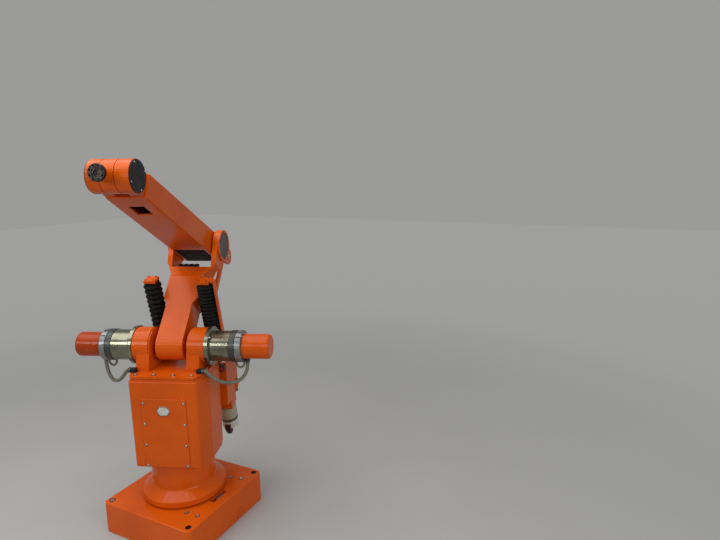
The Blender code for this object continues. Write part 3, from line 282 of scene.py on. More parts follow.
# Tones of dirt and wear, and the scales of fine grain
GRIME = (0.30, 0.060, 0.016)
SCRATCH = (0.72, 0.26, 0.10)
CHIP = (0.16, 0.075, 0.045)
MOTOR_DIRT = (0.10, 0.085, 0.06)
GLOSS_GRAIN_SHARE = 2.3
RELIEF_GRAIN = 900.0
TURNING_GRAIN = 1400.0

JOINTS = {joint["name"]: joint for joint in frame["record"]["behaviour"]["joints"]}


def principled(name):
    """A new material, its node tree and its Principled shader."""
    material = bpy.data.materials.new(name)
    material.use_nodes = True
    tree = material.node_tree
    return material, tree, tree.nodes["Principled BSDF"]


def add(tree, kind, **values):
    """Adds a node and sets its inputs by name."""
    node = tree.nodes.new(kind)
    for key, value in values.items():
        node.inputs[key.replace("_", " ")].default_value = value
    return node


def object_space(tree, matrix=None, stretch=(1.0, 1.0, 1.0)):
    """Coordinates of the part at rest, or of a frame on it, stretched for streaks."""
    source = tree.nodes.new("ShaderNodeTexCoord").outputs["Object"]
    if matrix is not None:
        inverse = matrix.inverted()
        mapping = add(
            tree,
            "ShaderNodeMapping",
            Location=inverse.translation,
            Rotation=inverse.to_euler(),
        )
        tree.links.new(source, mapping.inputs["Vector"])
        source = mapping.outputs["Vector"]
    if stretch != (1.0, 1.0, 1.0):
        scaling = add(tree, "ShaderNodeMapping", Scale=stretch)
        tree.links.new(source, scaling.inputs["Vector"])
        source = scaling.outputs["Vector"]
    return source


def noise(tree, source, scale, detail=4.0, roughness=0.55):
    """A noise value over the given coordinates."""
    node = add(tree, "ShaderNodeTexNoise", Scale=scale, Detail=detail, Roughness=roughness)
    tree.links.new(source, node.inputs["Vector"])
    return node.outputs["Fac"]


def ramp(tree, value, stops, interpolation="LINEAR"):
    """A colour ramp over a value, from (position, colour) stops."""
    node = tree.nodes.new("ShaderNodeValToRGB")
    node.color_ramp.interpolation = interpolation
    elements = node.color_ramp.elements
    while len(elements) < len(stops):
        elements.new(0.5)
    for element, (position, colour) in zip(elements, stops):
        element.position = position
        element.color = (colour[0], colour[1], colour[2], 1.0)
    tree.links.new(value, node.inputs["Fac"])
    return node.outputs["Color"]


def grey(level):
    """A grey colour."""
    return (level, level, level)


def remap(tree, value, old_range, new_range):
    """A value moved from one range to another and held inside it."""
    node = add(
        tree,
        "ShaderNodeMapRange",
        From_Min=old_range[0],
        From_Max=old_range[1],
        To_Min=new_range[0],
        To_Max=new_range[1],
    )
    tree.links.new(value, node.inputs["Value"])
    return node.outputs["Result"]


def mix(tree, factor, first, second):
    """A colour mixed from two by a factor."""
    node = tree.nodes.new("ShaderNodeMix")
    node.data_type = "RGBA"
    tree.links.new(factor, node.inputs["Factor"])
    colour_inputs = [socket for socket in node.inputs if socket.type == "RGBA"]
    for value, socket in zip((first, second), colour_inputs):
        if isinstance(value, tuple):
            socket.default_value = (value[0], value[1], value[2], 1.0)
        else:
            tree.links.new(value, socket)
    return [socket for socket in node.outputs if socket.type == "RGBA"][0]


def axis_value(tree, source, axis):
    """One coordinate of a vector."""
    node = tree.nodes.new("ShaderNodeSeparateXYZ")
    tree.links.new(source, node.inputs["Vector"])
    return node.outputs[axis]


def maths(tree, operation, first, second=None):
    """A math node over values or numbers."""
    node = tree.nodes.new("ShaderNodeMath")
    node.operation = operation
    for value, socket in ((first, node.inputs[0]), (second, node.inputs[1])):
        if isinstance(value, (int, float)):
            socket.default_value = value
        elif value is not None:
            tree.links.new(value, socket)
    return node.outputs["Value"]


def bump(tree, shader, height, strength, distance):
    """Gives a shader small relief from a height value."""
    node = add(tree, "ShaderNodeBump", Strength=strength, Distance=distance)
    tree.links.new(height, node.inputs["Height"])
    tree.links.new(node.outputs["Normal"], shader.inputs["Normal"])


def surface(name, tones, grain, gloss, metallic=0.0, relief=0.0, specular=0.5):
    """A material whose colour, gloss and relief vary with noise.

    tones are the ramp's stops, grain is the noise's scale, gloss is the lowest and highest
    roughness, and relief is the height of the fine grain in metres.
    """
    material, tree, shader = principled(name)
    source = object_space(tree)
    colour = ramp(tree, noise(tree, source, grain, detail=5.0), tones)
    tree.links.new(colour, shader.inputs["Base Color"])
    patches = noise(tree, source, grain * GLOSS_GRAIN_SHARE, detail=4.0, roughness=0.6)
    tree.links.new(remap(tree, patches, (0.35, 0.65), gloss), shader.inputs["Roughness"])
    shader.inputs["Metallic"].default_value = metallic
    shader.inputs["Specular IOR Level"].default_value = specular
    if relief > 0.0:
        fine = noise(tree, source, RELIEF_GRAIN, detail=3.0)
        bump(tree, shader, fine, strength=0.5, distance=relief)
    return material


def orange_paint(name, tones):
    """Glossy orange enamel with fine orange peel, smudges, grime, scratches and chips."""
    material, tree, shader = principled(name)
    source = object_space(tree)
    enamel = ramp(tree, noise(tree, source, scale=5.0, detail=5.0), [
        (0.30, tones[0]),
        (0.50, tones[1]),
        (0.72, tones[2]),
    ])
    spots = noise(tree, source, scale=38.0, detail=8.0, roughness=0.7)
    grime = ramp(tree, spots, [(0.60, grey(0.0)), (0.82, grey(0.55))])
    dirty = mix(tree, grime, enamel, GRIME)
    across = object_space(tree, COLUMN_FRAME, stretch=(14.0, 14.0, 160.0))
    streaks = noise(tree, across, scale=2.6, detail=2.0, roughness=0.4)
    lines = ramp(tree, streaks, [(0.735, grey(0.0)), (0.76, grey(0.6))])
    scratched = mix(tree, lines, dirty, SCRATCH)
    specks = noise(tree, source, scale=120.0, detail=6.0, roughness=0.65)
    chips = ramp(tree, specks, [(0.735, grey(0.0)), (0.75, grey(0.9))])
    worn = mix(tree, chips, scratched, CHIP)
    tree.links.new(worn, shader.inputs["Base Color"])
    smudges = noise(tree, source, scale=16.0, detail=6.0, roughness=0.65)
    tree.links.new(
        remap(tree, smudges, (0.32, 0.70), (0.13, 0.30)),
        shader.inputs["Roughness"],
    )
    shader.inputs["Specular IOR Level"].default_value = 0.20
    peel = noise(tree, source, scale=420.0, detail=2.0)
    bump(tree, shader, peel, strength=0.30, distance=0.00005)
    return material


def turned_metal(name, tones, gloss, place):
    """Machined metal with fine turning marks around a frame's X axis."""
    material, tree, shader = principled(name)
    source = object_space(tree)
    along = object_space(tree, place, stretch=(TURNING_GRAIN, 6.0, 6.0))
    marks = noise(tree, along, scale=1.0, detail=2.0, roughness=0.5)
    colour = ramp(tree, noise(tree, source, scale=22.0, detail=5.0, roughness=0.6), tones)
    shade = remap(tree, marks, (0.3, 0.7), (0.0, 0.35))
    tree.links.new(mix(tree, shade, colour, tones[0][1]), shader.inputs["Base Color"])
    tree.links.new(remap(tree, marks, (0.25, 0.75), gloss), shader.inputs["Roughness"])
    shader.inputs["Metallic"].default_value = 0.92
    bump(tree, shader, marks, strength=0.05, distance=0.00002)
    return material


def banded(name, place, axis, stops, length, gloss, metallic):
    """A finish whose colour changes in bands along one axis of a frame.

    stops are (distance in metres, colour), and the distance is measured from the frame's
    origin on both sides of it where the axis is X.
    """
    material, tree, shader = principled(name)
    distance = maths(tree, "ABSOLUTE", axis_value(tree, object_space(tree, place), axis))
    share = maths(tree, "DIVIDE", distance, length)
    bands = ramp(tree, share, [(at / length, colour) for at, colour in stops], "CONSTANT")
    source = object_space(tree)
    spots = noise(tree, source, scale=60.0, detail=6.0, roughness=0.65)
    dirt = remap(tree, spots, (0.5, 0.8), (0.0, 0.6))
    tree.links.new(mix(tree, dirt, bands, MOTOR_DIRT), shader.inputs["Base Color"])
    patches = noise(tree, source, scale=45.0, detail=5.0)
    tree.links.new(remap(tree, patches, (0.3, 0.7), gloss), shader.inputs["Roughness"])
    shader.inputs["Metallic"].default_value = metallic
    fine = noise(tree, source, scale=700.0, detail=3.0)
    bump(tree, shader, fine, strength=0.3, distance=0.00006)
    return material


def frame_along(origin, towards):
    """A frame at a joint whose X is the arm's cross axis and whose Z points along a direction."""
    across = Vector(JOINTS["lower_arm_swing"]["axis"]).normalized()
    upward = Vector(towards).normalized()
    forward = upward.cross(across).normalized()
    upward = across.cross(forward).normalized()
    axes = Matrix((across, forward, upward)).transposed().to_4x4()
    return Matrix.Translation(Vector(origin)) @ axes


SHOULDER = Vector(JOINTS["lower_arm_swing"]["pos_m"])
ELBOW = Vector(JOINTS["upper_arm_swing"]["pos_m"])
WRIST = Vector(JOINTS["wrist_tilt"]["pos_m"])
COLUMN_FRAME = frame_along((0.0, 0.0, 0.0), (0.0, 0.0, 1.0))
SHOULDER_FRAME = frame_along(SHOULDER, (0.0, 0.0, 1.0))
LOWER_FRAME = frame_along(SHOULDER, ELBOW - SHOULDER)
UPPER_FRAME = frame_along(ELBOW, WRIST - ELBOW)
TOOL_FRAME = frame_along(JOINTS["tool_turn"]["pos_m"], JOINTS["tool_turn"]["axis"])
DRIVE_FRAMES = {
    label: frame_along(JOINTS[label + "_drive_tilt"]["pos_m"], JOINTS[label + "_nut_slide"]["axis"])
    for label in ("lower", "upper")
}
SIDES = ((-1.0, "left"), (1.0, "right"))


def extent(node, place):
    """Lowest and highest corner of a node in a frame's own axes."""
    inverse = place.inverted()
    corners = [inverse @ vertex.co for vertex in frame["nodes"][node].data.vertices]
    return (
        Vector([min(corner[i] for corner in corners) for i in range(3)]),
        Vector([max(corner[i] for corner in corners) for i in range(3)]),
    )


def ring_shape(rings, segments=24):
    """A shape turned about Z from rings of (radius, height, sides).

    Sides of 0 makes a round ring; 6 makes a hexagon with that radius across its flats.
    """
    shape_bm = bmesh.new()
    loops = []
    for radius, height, sides in rings:
        loop = []
        for i in range(segments):
            angle = 2.0 * math.pi * i / segments
            reach = radius
            if sides:
                sector = 2.0 * math.pi / sides
                reach = radius / math.cos((angle + sector / 2.0) % sector - sector / 2.0)
            loop.append(shape_bm.verts.new((reach * math.cos(angle), reach * math.sin(angle), height)))
        loops.append(loop)
    for first, second in zip(loops, loops[1:]):
        for i in range(segments):
            j = (i + 1) % segments
            shape_bm.faces.new((first[i], first[j], second[j], second[i]))
    bmesh.ops.remove_doubles(shape_bm, verts=shape_bm.verts, dist=0.000001)
    bmesh.ops.recalc_face_normals(shape_bm, faces=shape_bm.faces)
    return shape_bm


def slanted_box(near, far, skew=0.0):
    """A box between two corners, which rises by skew along Y from its low Z end to its high one."""
    shape_bm = bmesh.new()
    bmesh.ops.create_cube(shape_bm, size=1.0)
    for vertex in shape_bm.verts:
        share = vertex.co.z + 0.5
        vertex.co = Vector([near[i] if vertex.co[i] < 0.0 else far[i] for i in range(3)])
        vertex.co.y += skew * share
    return shape_bm


def cap_screw(radius, height):
    """Socket head cap screw's head, standing on z = 0."""
    socket = radius * 0.52
    return ring_shape([
        (0.0, 0.0, 0),
        (radius, 0.0, 0),
        (radius, height * 0.88, 0),
        (radius * 0.90, height, 0),
        (socket * 1.08, height, 6),
        (socket, height * 0.94, 6),
        (socket, height * 0.40, 6),
        (0.0, height * 0.34, 0),
    ])


def washer(radius, height):
    """Thin washer that stands out around a screw's head; made dark, it paints a ring of shade around
    the head.
    """
    return ring_shape([
        (0.0, 0.0, 0),
        (radius * 1.45, 0.0, 0),
        (radius * 1.45, height * 0.5, 0),
        (radius * 1.35, height * 0.7, 0),
        (0.0, height * 0.7, 0),
    ])


def dome_screw(radius, height):
    """Low domed screw's head with a driver recess, standing on z = 0."""
    return ring_shape([
        (0.0, 0.0, 0),
        (radius, 0.0, 0),
        (radius, height * 0.35, 0),
        (radius * 0.80, height * 0.82, 0),
        (radius * 0.42, height, 0),
        (radius * 0.36, height * 0.45, 4),
        (0.0, height * 0.40, 0),
    ])


def facing(place, point, outward):
    """Where a fastener goes: at a point of a frame, with its Z along an outward direction."""
    turn = Vector((0.0, 0.0, 1.0)).rotation_difference(Vector(outward)).to_matrix().to_4x4()
    return place @ Matrix.Translation(Vector(point)) @ turn


def around_x(place, at_x, radius, count, first=0.0, centre=(0.0, 0.0)):
    """Places on a bolt circle that faces along a frame's X, outward from the arm."""
    out = math.copysign(1.0, at_x)
    spots = []
    for i in range(count):
        angle = first + 2.0 * math.pi * i / count
        spot = (at_x, centre[0] + radius * math.cos(angle), centre[1] + radius * math.sin(angle))
        spots.append(facing(place, spot, (out, 0.0, 0.0)))
    return spots


def joined(shapes):
    """One bmesh made of several, which are freed."""
    whole_bm = bmesh.new()
    for shape_bm in shapes:
        mesh = bpy.data.meshes.new("joined_shape")
        shape_bm.to_mesh(mesh)
        shape_bm.free()
        whole_bm.from_mesh(mesh)
        bpy.data.meshes.remove(mesh)
    return whole_bm


def finish_piece(name, shape_bm, material, body):
    """Turns a bmesh in place into a named piece that rides on a body."""
    mesh = bpy.data.meshes.new(name)
    shape_bm.to_mesh(mesh)
    shape_bm.free()
    mesh.materials.append(material)
    mesh.shade_smooth()
    mesh.set_sharp_from_angle(angle=SMOOTH_ANGLE)
    piece = bpy.data.objects.new(name, mesh)
    bpy.context.scene.collection.objects.link(piece)
    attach(piece, body)
    return piece


def fasteners(name, head, size, spots, material, body):
    """One piece made of the same fastener at several places."""
    shapes = []
    for spot in spots:
        shape_bm = head(*size)
        bmesh.ops.transform(shape_bm, matrix=spot, verts=shape_bm.verts)
        shapes.append(shape_bm)
    finish_piece(name, joined(shapes), material, body)


def bevel(shape_bm, offset, segments):
    """Rounds every edge of a shape."""
    bmesh.ops.bevel(
        shape_bm,
        geom=shape_bm.edges[:],
        offset=offset,
        segments=segments,
        affect="EDGES",
    )


def placed_shape(name, shape_bm, place, material, body):
    """A piece whose shape is given in a frame's own axes."""
    bmesh.ops.transform(shape_bm, matrix=place, verts=shape_bm.verts)
    return finish_piece(name, shape_bm, material, body)


def placed_rings(name, rings, place, material, body, segments=48):
    """A turned piece in a frame."""
    return placed_shape(name, ring_shape(rings, segments), place, material, body)


def screws_on_shade_washers(label, head, size, shade_washer_height, spots, body):
    """Bright screws and the dark washers under them, as two pieces; the washers' dark colour paints a
    ring of shade around each head.
    """
    fasteners(label + "_screws", head, size, spots, steel, body)
    shade_washer_size = (size[0], shade_washer_height)
    fasteners(label + "_washers", washer, shade_washer_size, spots, dark_steel, body)


# Materials
paint = orange_paint(
    "orange_enamel",
    [(0.58, 0.078, 0.002), (0.67, 0.096, 0.003), (0.74, 0.116, 0.005)],
)
# Darker copy of the orange enamel for the left motor's cap: its darkness is painted shade, because the
# left side of the arm lies in shade
painted_shade_enamel = orange_paint(
    "enamel_with_painted_shade",
    [(0.27, 0.029, 0.002), (0.34, 0.038, 0.003), (0.40, 0.048, 0.005)],
)
olive_metal = turned_metal(
    "yellow_passivated_metal",
    [(0.30, (0.15, 0.145, 0.095)), (0.50, (0.25, 0.245, 0.175)), (0.70, (0.33, 0.325, 0.255))],
    gloss=(0.20, 0.27),
    place=SHOULDER_FRAME,
)
ring_low, ring_high = extent("right_motor_ring", SHOULDER_FRAME)
ring_split = (ring_low.x + ring_high.x) / 2.0
# The motor rings are dark on their inner half, next to the motor's body, and pale grey on their outer
# half
ring_metal = banded(
    "ring_darker_inner_half",
    SHOULDER_FRAME,
    "X",
    [(0.0, (0.075, 0.080, 0.078)), (ring_split, (0.25, 0.26, 0.26))],
    length=0.4,
    gloss=(0.28, 0.48),
    metallic=0.75,
)
elbow_metal = surface(
    "grey_cover_paint",
    [(0.30, (0.060, 0.052, 0.050)), (0.55, (0.085, 0.075, 0.072)), (0.75, (0.12, 0.11, 0.105))],
    grain=14.0,
    gloss=(0.38, 0.55),
    metallic=0.15,
    relief=0.00005,
)
wrist_cover = surface(
    "dark_cover_paint",
    [(0.30, (0.005, 0.005, 0.007)), (0.55, (0.008, 0.008, 0.012)), (0.80, (0.018, 0.018, 0.023))],
    grain=18.0,
    gloss=(0.34, 0.52),
    relief=0.00005,
    specular=0.28,
)
steel = surface(
    "zinc_steel",
    [(0.30, (0.36, 0.36, 0.35)), (0.55, (0.56, 0.56, 0.54)), (0.78, (0.66, 0.65, 0.60))],
    grain=45.0,
    gloss=(0.24, 0.42),
    metallic=0.95,
    relief=0.00004,
)
dark_steel = surface(
    "dark_steel",
    [(0.30, (0.055, 0.052, 0.050)), (0.60, (0.12, 0.115, 0.11)), (0.80, (0.20, 0.18, 0.16))],
    grain=60.0,
    gloss=(0.30, 0.50),
    metallic=0.85,
    relief=0.00005,
)
rubber = surface(
    "black_rubber",
    [(0.30, (0.003, 0.003, 0.003)), (0.55, (0.005, 0.005, 0.005)), (0.80, (0.014, 0.012, 0.011))],
    grain=30.0,
    gloss=(0.40, 0.60),
    relief=0.00010,
    specular=0.14,
)
sheath = surface(
    "cable_sheath",
    [(0.30, (0.115, 0.110, 0.075)), (0.55, (0.165, 0.16, 0.115)), (0.80, (0.23, 0.22, 0.17))],
    grain=60.0,
    gloss=(0.38, 0.55),
    relief=0.00005,
)
plate_metal = surface(
    "plain_plate",
    [(0.30, (0.50, 0.49, 0.44)), (0.55, (0.66, 0.65, 0.60)), (0.80, (0.74, 0.73, 0.70))],
    grain=90.0,
    gloss=(0.30, 0.45),
    metallic=0.25,
)
connector = surface(
    "brown_connector",
    [(0.30, (0.018, 0.010, 0.008)), (0.55, (0.055, 0.020, 0.014)), (0.80, (0.10, 0.030, 0.020))],
    grain=70.0,
    gloss=(0.35, 0.55),
    metallic=0.05,
    relief=0.00008,
)
black_plastic = surface(
    "black_plastic",
    [(0.30, grey(0.010)), (0.60, grey(0.018)), (0.80, grey(0.035))],
    grain=80.0,
    gloss=(0.28, 0.45),
    relief=0.00004,
)
# Near-black finish for the sheet of painted shade under the upper arm
shade_sheet_finish = surface(
    "painted_shade_sheet",
    [(0.30, (0.006, 0.004, 0.004)), (0.55, (0.016, 0.008, 0.006)), (0.80, (0.045, 0.020, 0.014))],
    grain=22.0,
    gloss=(0.60, 0.80),
    relief=0.00006,
    specular=0.15,
)
flange_steel = surface(
    "flange_steel",
    [(0.30, (0.014, 0.011, 0.010)), (0.55, (0.028, 0.022, 0.019)), (0.80, (0.10, 0.09, 0.08))],
    grain=90.0,
    gloss=(0.30, 0.48),
    metallic=0.9,
    relief=0.00005,
)
red_plastic = surface(
    "red_plastic",
    [(0.30, (0.30, 0.012, 0.010)), (0.60, (0.42, 0.020, 0.015)), (0.80, (0.50, 0.035, 0.025))],
    grain=60.0,
    gloss=(0.28, 0.42),
    relief=0.00004,
)

FINISHES = {
    "orange_paint": paint,
    "passivated_metal": olive_metal,
    "cast_metal": ring_metal,
    "dark_cover": wrist_cover,
    "bright_steel": steel,
    "dark_steel": dark_steel,
    "black_rubber": rubber,
    "cable_sheath": sheath,
    "plain_plate": plate_metal,
    "connector": connector,
}


def motor_bands(label):
    """Finish of a screw unit's motor: olive, then a pale line, dark olive and white."""
    place = DRIVE_FRAMES[label]
    motor_low, motor_high = extent(label + "_drive_motor", place)
    return banded(
        label + "_motor_bands",
        place,
        "Z",
        [(0.0, MOTOR_OLIVE)] + [(-motor_high.z + at, colour) for at, colour in MOTOR_BANDS],
        length=-motor_low.z,
        gloss=(0.24, 0.42),
        metallic=0.15,
    )


NODE_FINISHES = {
    # The left motor's cap takes the enamel with painted shade
    "left_motor_cap": painted_shade_enamel,
    "left_elbow_cap": elbow_metal,
    "right_elbow_cap": elbow_metal,
    "lower_drive_motor": motor_bands("lower"),
    "upper_drive_motor": motor_bands("upper"),
}
for subpart in frame["record"]["subparts"]:
    finish = NODE_FINISHES.get(subpart["node"], FINISHES[subpart["material_slot"]])
    for material_slot in frame["nodes"][subpart["node"]].material_slots:
        material_slot.material = finish


# Cables
def smooth_route(guides, count):
    """Points along the curve that a list of guide points draws."""
    order = len(guides) - 1
    route = []
    for i in range(count):
        t = i / (count - 1)
        where = Vector((0.0, 0.0, 0.0))
        for k, guide in enumerate(guides):
            where += math.comb(order, k) * (1.0 - t) ** (order - k) * t ** k * guide
        route.append(where)
    return route


def cable(name, route, radius):
    """A round cable along a route of the column's frame."""
    curve = bpy.data.curves.new(name, "CURVE")
    curve.dimensions = "3D"
    curve.bevel_depth = radius
    curve.bevel_resolution = 5
    curve.use_fill_caps = True
    spline = curve.splines.new("POLY")
    spline.points.add(len(route) - 1)
    places = [COLUMN_FRAME @ point for point in route]
    for point, where in zip(spline.points, places):
        point.co = (where.x, where.y, where.z, 1.0)
    spline.use_smooth = True
    curve.materials.append(sheath)
    piece = bpy.data.objects.new(name, curve)
    bpy.context.scene.collection.objects.link(piece)
    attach(piece, "column")
    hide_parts(name.replace("_run", ""))


def around_cable(profile):
    """Rings around a motor cable, from (share of its radius, height, sides)."""
    return [(CABLE_RADIUS * share, height, sides) for share, height, sides in profile]


cap_under = SHOULDER.z - extent("right_motor_cap", SHOULDER_FRAME)[1].z - SEAT_GAP
ring_under = SHOULDER.z - ring_high.z - SEAT_GAP
gland_low, gland_high = extent("right_cable_gland", COLUMN_FRAME)
body_high = extent("column_body", COLUMN_FRAME)[1]
for side, label in SIDES:
    start = Vector((side * (LEAD_SPLIT + CABLE_START_INSET), 0.0, cap_under))
    end = Vector((side * (gland_high.x + SEAT_GAP), CABLE_END_Y, (gland_low.z + gland_high.z) / 2.0))
    leave = start - Vector((0.0, 0.0, CABLE_STRAIGHT))
    arrive = end + Vector((side * CABLE_STRAIGHT, 0.0, 0.0))
    low_z = body_high.z - CABLE_LOW
    cable(label + "_cable_1_run", [start] + smooth_route([
        leave,
        Vector((start.x, start.y, low_z)),
        Vector((side * (body_high.x + LEAD_DROP * 3.0), end.y / 3.0, low_z - CABLE_RADIUS)),
        Vector((side * (body_high.x + LEAD_DROP), end.y, low_z + CABLE_RADIUS)),
        arrive + Vector((side * CABLE_OVER, 0.0, 0.0)),
        arrive,
    ], CABLE_POINTS) + [end], CABLE_RADIUS)
    lead_start = Vector((side * LEAD_SPLIT, 0.0, ring_under))
    lead_end = Vector((side * LEAD_END, 0.0, ring_under))
    dip = Vector((0.0, 0.0, LEAD_DROP))
    stub = Vector((0.0, 0.0, LEAD_RADIUS))
    cable(label + "_cable_2_run", [lead_start] + smooth_route([
        lead_start - stub,
        lead_start - dip,
        lead_end - dip,
        lead_end - stub,
    ], LEAD_POINTS) + [lead_end], LEAD_RADIUS)
    placed_rings(
        label + "_cable_collar",
        around_cable(CABLE_COLLAR),
        COLUMN_FRAME @ Matrix.Translation(start),
        dark_steel,
        "column",
    )
    placed_rings(
        label + "_gland_nut",
        around_cable(GLAND_NUT),
        facing(COLUMN_FRAME, end, (side, 0.0, 0.0)),
        dark_steel,
        "column",
    )


# Bellows and threads on the screws
def bellows(label):
    """Rubber bellows with rounded folds and a cuff at each end."""
    place = DRIVE_FRAMES[label]
    box_low, box_high = extent(label + "_bellows", place)
    outer = box_high.x
    inner = outer - BELLOWS_DEPTH
    lip = inner + BELLOWS_LIP
    first, last = box_low.z + BELLOWS_CUFF, box_high.z - BELLOWS_CUFF
    fold = (last - first) / BELLOWS_FOLDS
    rings = [
        (inner - BELLOWS_WALL, box_low.z, 0),
        (lip, box_low.z, 0),
        (lip, first - BELLOWS_LIP, 0),
    ]
    for i in range(BELLOWS_FOLDS * BELLOWS_STEPS + 1):
        wave = 0.5 - 0.5 * math.cos(2.0 * math.pi * i / BELLOWS_STEPS)
        reach = inner + (outer - inner) * wave ** BELLOWS_ROUNDING
        rings.append((reach, first + fold * i / BELLOWS_STEPS, 0))
    rings += [
        (lip, last + BELLOWS_LIP, 0),
        (lip, box_high.z, 0),
        (inner - BELLOWS_WALL, box_high.z, 0),
    ]
    piece = placed_rings(
        label + "_bellows_rubber",
        rings,
        place,
        rubber,
        label + "_drive",
    )
    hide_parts(label + "_bellows")
    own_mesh(piece)


def thread(label):
    """A screw with its thread."""
    place = DRIVE_FRAMES[label]
    box_low, box_high = extent(label + "_drive_screw", place)
    radius = box_high.x
    turns = int((box_high.z - box_low.z) / THREAD_PITCH)
    steps = turns * THREAD_SEGMENTS
    profile = [(radius - depth, share) for depth, share in THREAD_PROFILE]
    pitch = (box_high.z - box_low.z) / (turns + 1)
    shape_bm = bmesh.new()
    loops = []
    for i in range(steps + 1):
        angle = 2.0 * math.pi * i / THREAD_SEGMENTS
        rise = box_low.z + pitch * i / THREAD_SEGMENTS
        loops.append([
            shape_bm.verts.new((reach * math.cos(angle), reach * math.sin(angle), rise + pitch * share))
            for reach, share in profile
        ])
    for first, second in zip(loops, loops[1:]):
        for a in range(len(profile) - 1):
            shape_bm.faces.new((first[a], second[a], second[a + 1], first[a + 1]))
    for i in range(steps - THREAD_SEGMENTS):
        shape_bm.faces.new((
            loops[i][-1],
            loops[i + 1][-1],
            loops[i + 1 + THREAD_SEGMENTS][0],
            loops[i + THREAD_SEGMENTS][0],
        ))
    bmesh.ops.recalc_face_normals(shape_bm, faces=shape_bm.faces)
    bmesh.ops.transform(shape_bm, matrix=place, verts=shape_bm.verts)
    name = label + "_screw_thread"
    piece = finish_piece(name, shape_bm, steel, label + "_drive")
    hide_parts(label + "_drive_screw")


def unit_fasteners(label):
    """Screws of a screw unit's cap and yoke."""
    place = DRIVE_FRAMES[label]
    cap_high = extent(label + "_drive_cap", place)[1]
    corner = Vector((cap_high.x - UNIT_SCREW_INSET, cap_high.y - UNIT_SCREW_INSET))
    fasteners(
        label + "_unit_cap_screws",
        cap_screw,
        SMALL_SCREW,
        [
            facing(place, (x * corner.x, y * corner.y, cap_high.z), (0.0, 0.0, 1.0))
            for x in (-1.0, 1.0)
            for y in (-1.0, 1.0)
        ],
        dark_steel,
        label + "_drive",
    )
    yoke_low, yoke_high = extent(label + "_drive_yoke", place)
    fasteners(
        label + "_yoke_screws",
        cap_screw,
        SMALL_SCREW,
        [
            facing(place, (x * YOKE_SCREW_ACROSS, side * YOKE_HALF, z), (0.0, side, 0.0))
            for x in (-1.0, 1.0)
            for side in (-1.0, 1.0)
            for z in (yoke_low.z + YOKE_SCREW_INSET, yoke_high.z - YOKE_SCREW_INSET)
        ],
        steel,
        label + "_drive",
    )


def unit_connector(label):
    """The plug socket on a screw unit's motor."""
    place = DRIVE_FRAMES[label]
    motor_low = extent(label + "_drive_motor", place)[0]
    start = motor_low.z + CONNECTOR_START
    shape_bm = slanted_box(
        (-CONNECTOR_HALF, motor_low.y - CONNECTOR_PROUD, start),
        (CONNECTOR_HALF, motor_low.y + CONNECTOR_SUNK, start + CONNECTOR_HEIGHT),
    )
    bevel(shape_bm, CONNECTOR_EDGE, 2)
    placed_shape(label + "_unit_connector", shape_bm, place, connector, label + "_drive")


for label in DRIVE_FRAMES:
    bellows(label)
    thread(label)
    unit_fasteners(label)
    unit_connector(label)

# Bearing caps on the outer brackets, and pin heads on the tail's fork
trunnion_centre = COLUMN_FRAME.inverted() @ Vector(JOINTS["lower_drive_tilt"]["pos_m"])
for side, label in SIDES:
    outer_face = extent(label + "_trunnion_bracket", COLUMN_FRAME)[1 if side > 0.0 else 0].x
    placed_rings(
        label + "_bearing_cap",
        BEARING_CAP,
        facing(COLUMN_FRAME, (outer_face, trunnion_centre.y, trunnion_centre.z), (side, 0.0, 0.0)),
        paint,
        "column",
    )
    fasteners(
        label + "_bearing_screws",
        cap_screw,
        CAP_SCREW,
        [
            facing(
                COLUMN_FRAME,
                (outer_face, trunnion_centre.y, trunnion_centre.z + rise),
                (side, 0.0, 0.0),
            )
            for rise in BEARING_SCREW_RISES
        ],
        dark_steel,
        "column",
    )
for label, lug_face, outward in TAIL_LUG_FACES:
    placed_rings(
        "tail_pin_head_" + label,
        PIN_HEAD,
        facing(UPPER_FRAME, (lug_face, 0.0, -TAIL_RADIUS), (outward, 0.0, 0.0)),
        steel,
        "upper_arm",
    )

# Wrist motors
for side, label in SIDES:
    motor_low, motor_high = extent(label + "_motor_body", SHOULDER_FRAME)
    flange_face = min(abs(motor_low.x), abs(motor_high.x)) + FLANGE_THICK
    body_radius = extent(label + "_motor_ring", SHOULDER_FRAME)[1].y - BARREL_GAP
    fasteners(
        label + "_motor_flange_screws",
        cap_screw,
        CAP_SCREW,
        around_x(
            SHOULDER_FRAME,
            side * flange_face,
            (motor_high.y + body_radius) / 2.0,
            MOTOR_SCREWS,
            math.radians(45.0),
        ),
        steel,
        "column",
    )
    fasteners(
        label + "_motor_ring_screws",
        cap_screw,
        SMALL_SCREW,
        around_x(
            SHOULDER_FRAME,
            side * ring_high.x,
            RING_SCREW_RADIUS,
            MOTOR_SCREWS,
            math.radians(30.0),
        ),
        steel,
        "column",
    )


def ring_vents(side, label):
    """Dark vent slots on top of a motor's ring."""
    vents = []
    lift = Matrix.Translation((0.0, 0.0, VENT_RADIUS))
    mirror = Matrix.Scale(side, 4, Vector((1.0, 0.0, 0.0)))
    for angle in VENT_ANGLES:
        vent_bm = slanted_box((VENT_FROM, -VENT_HALF, 0.0), (VENT_TO, VENT_HALF, VENT_PROUD))
        bevel(vent_bm, VENT_EDGE, 1)
        turn = Matrix.Rotation(math.pi / 2.0 - angle, 4, "X")
        bmesh.ops.transform(vent_bm, matrix=mirror @ turn @ lift, verts=vent_bm.verts)
        vents.append(vent_bm)
    shape_bm = joined(vents)
    bmesh.ops.recalc_face_normals(shape_bm, faces=shape_bm.faces)
    placed_shape(
        label + "_ring_vents",
        shape_bm,
        SHOULDER_FRAME,
        black_plastic,
        "column",
    )


for side, label in SIDES:
    ring_vents(side, label)

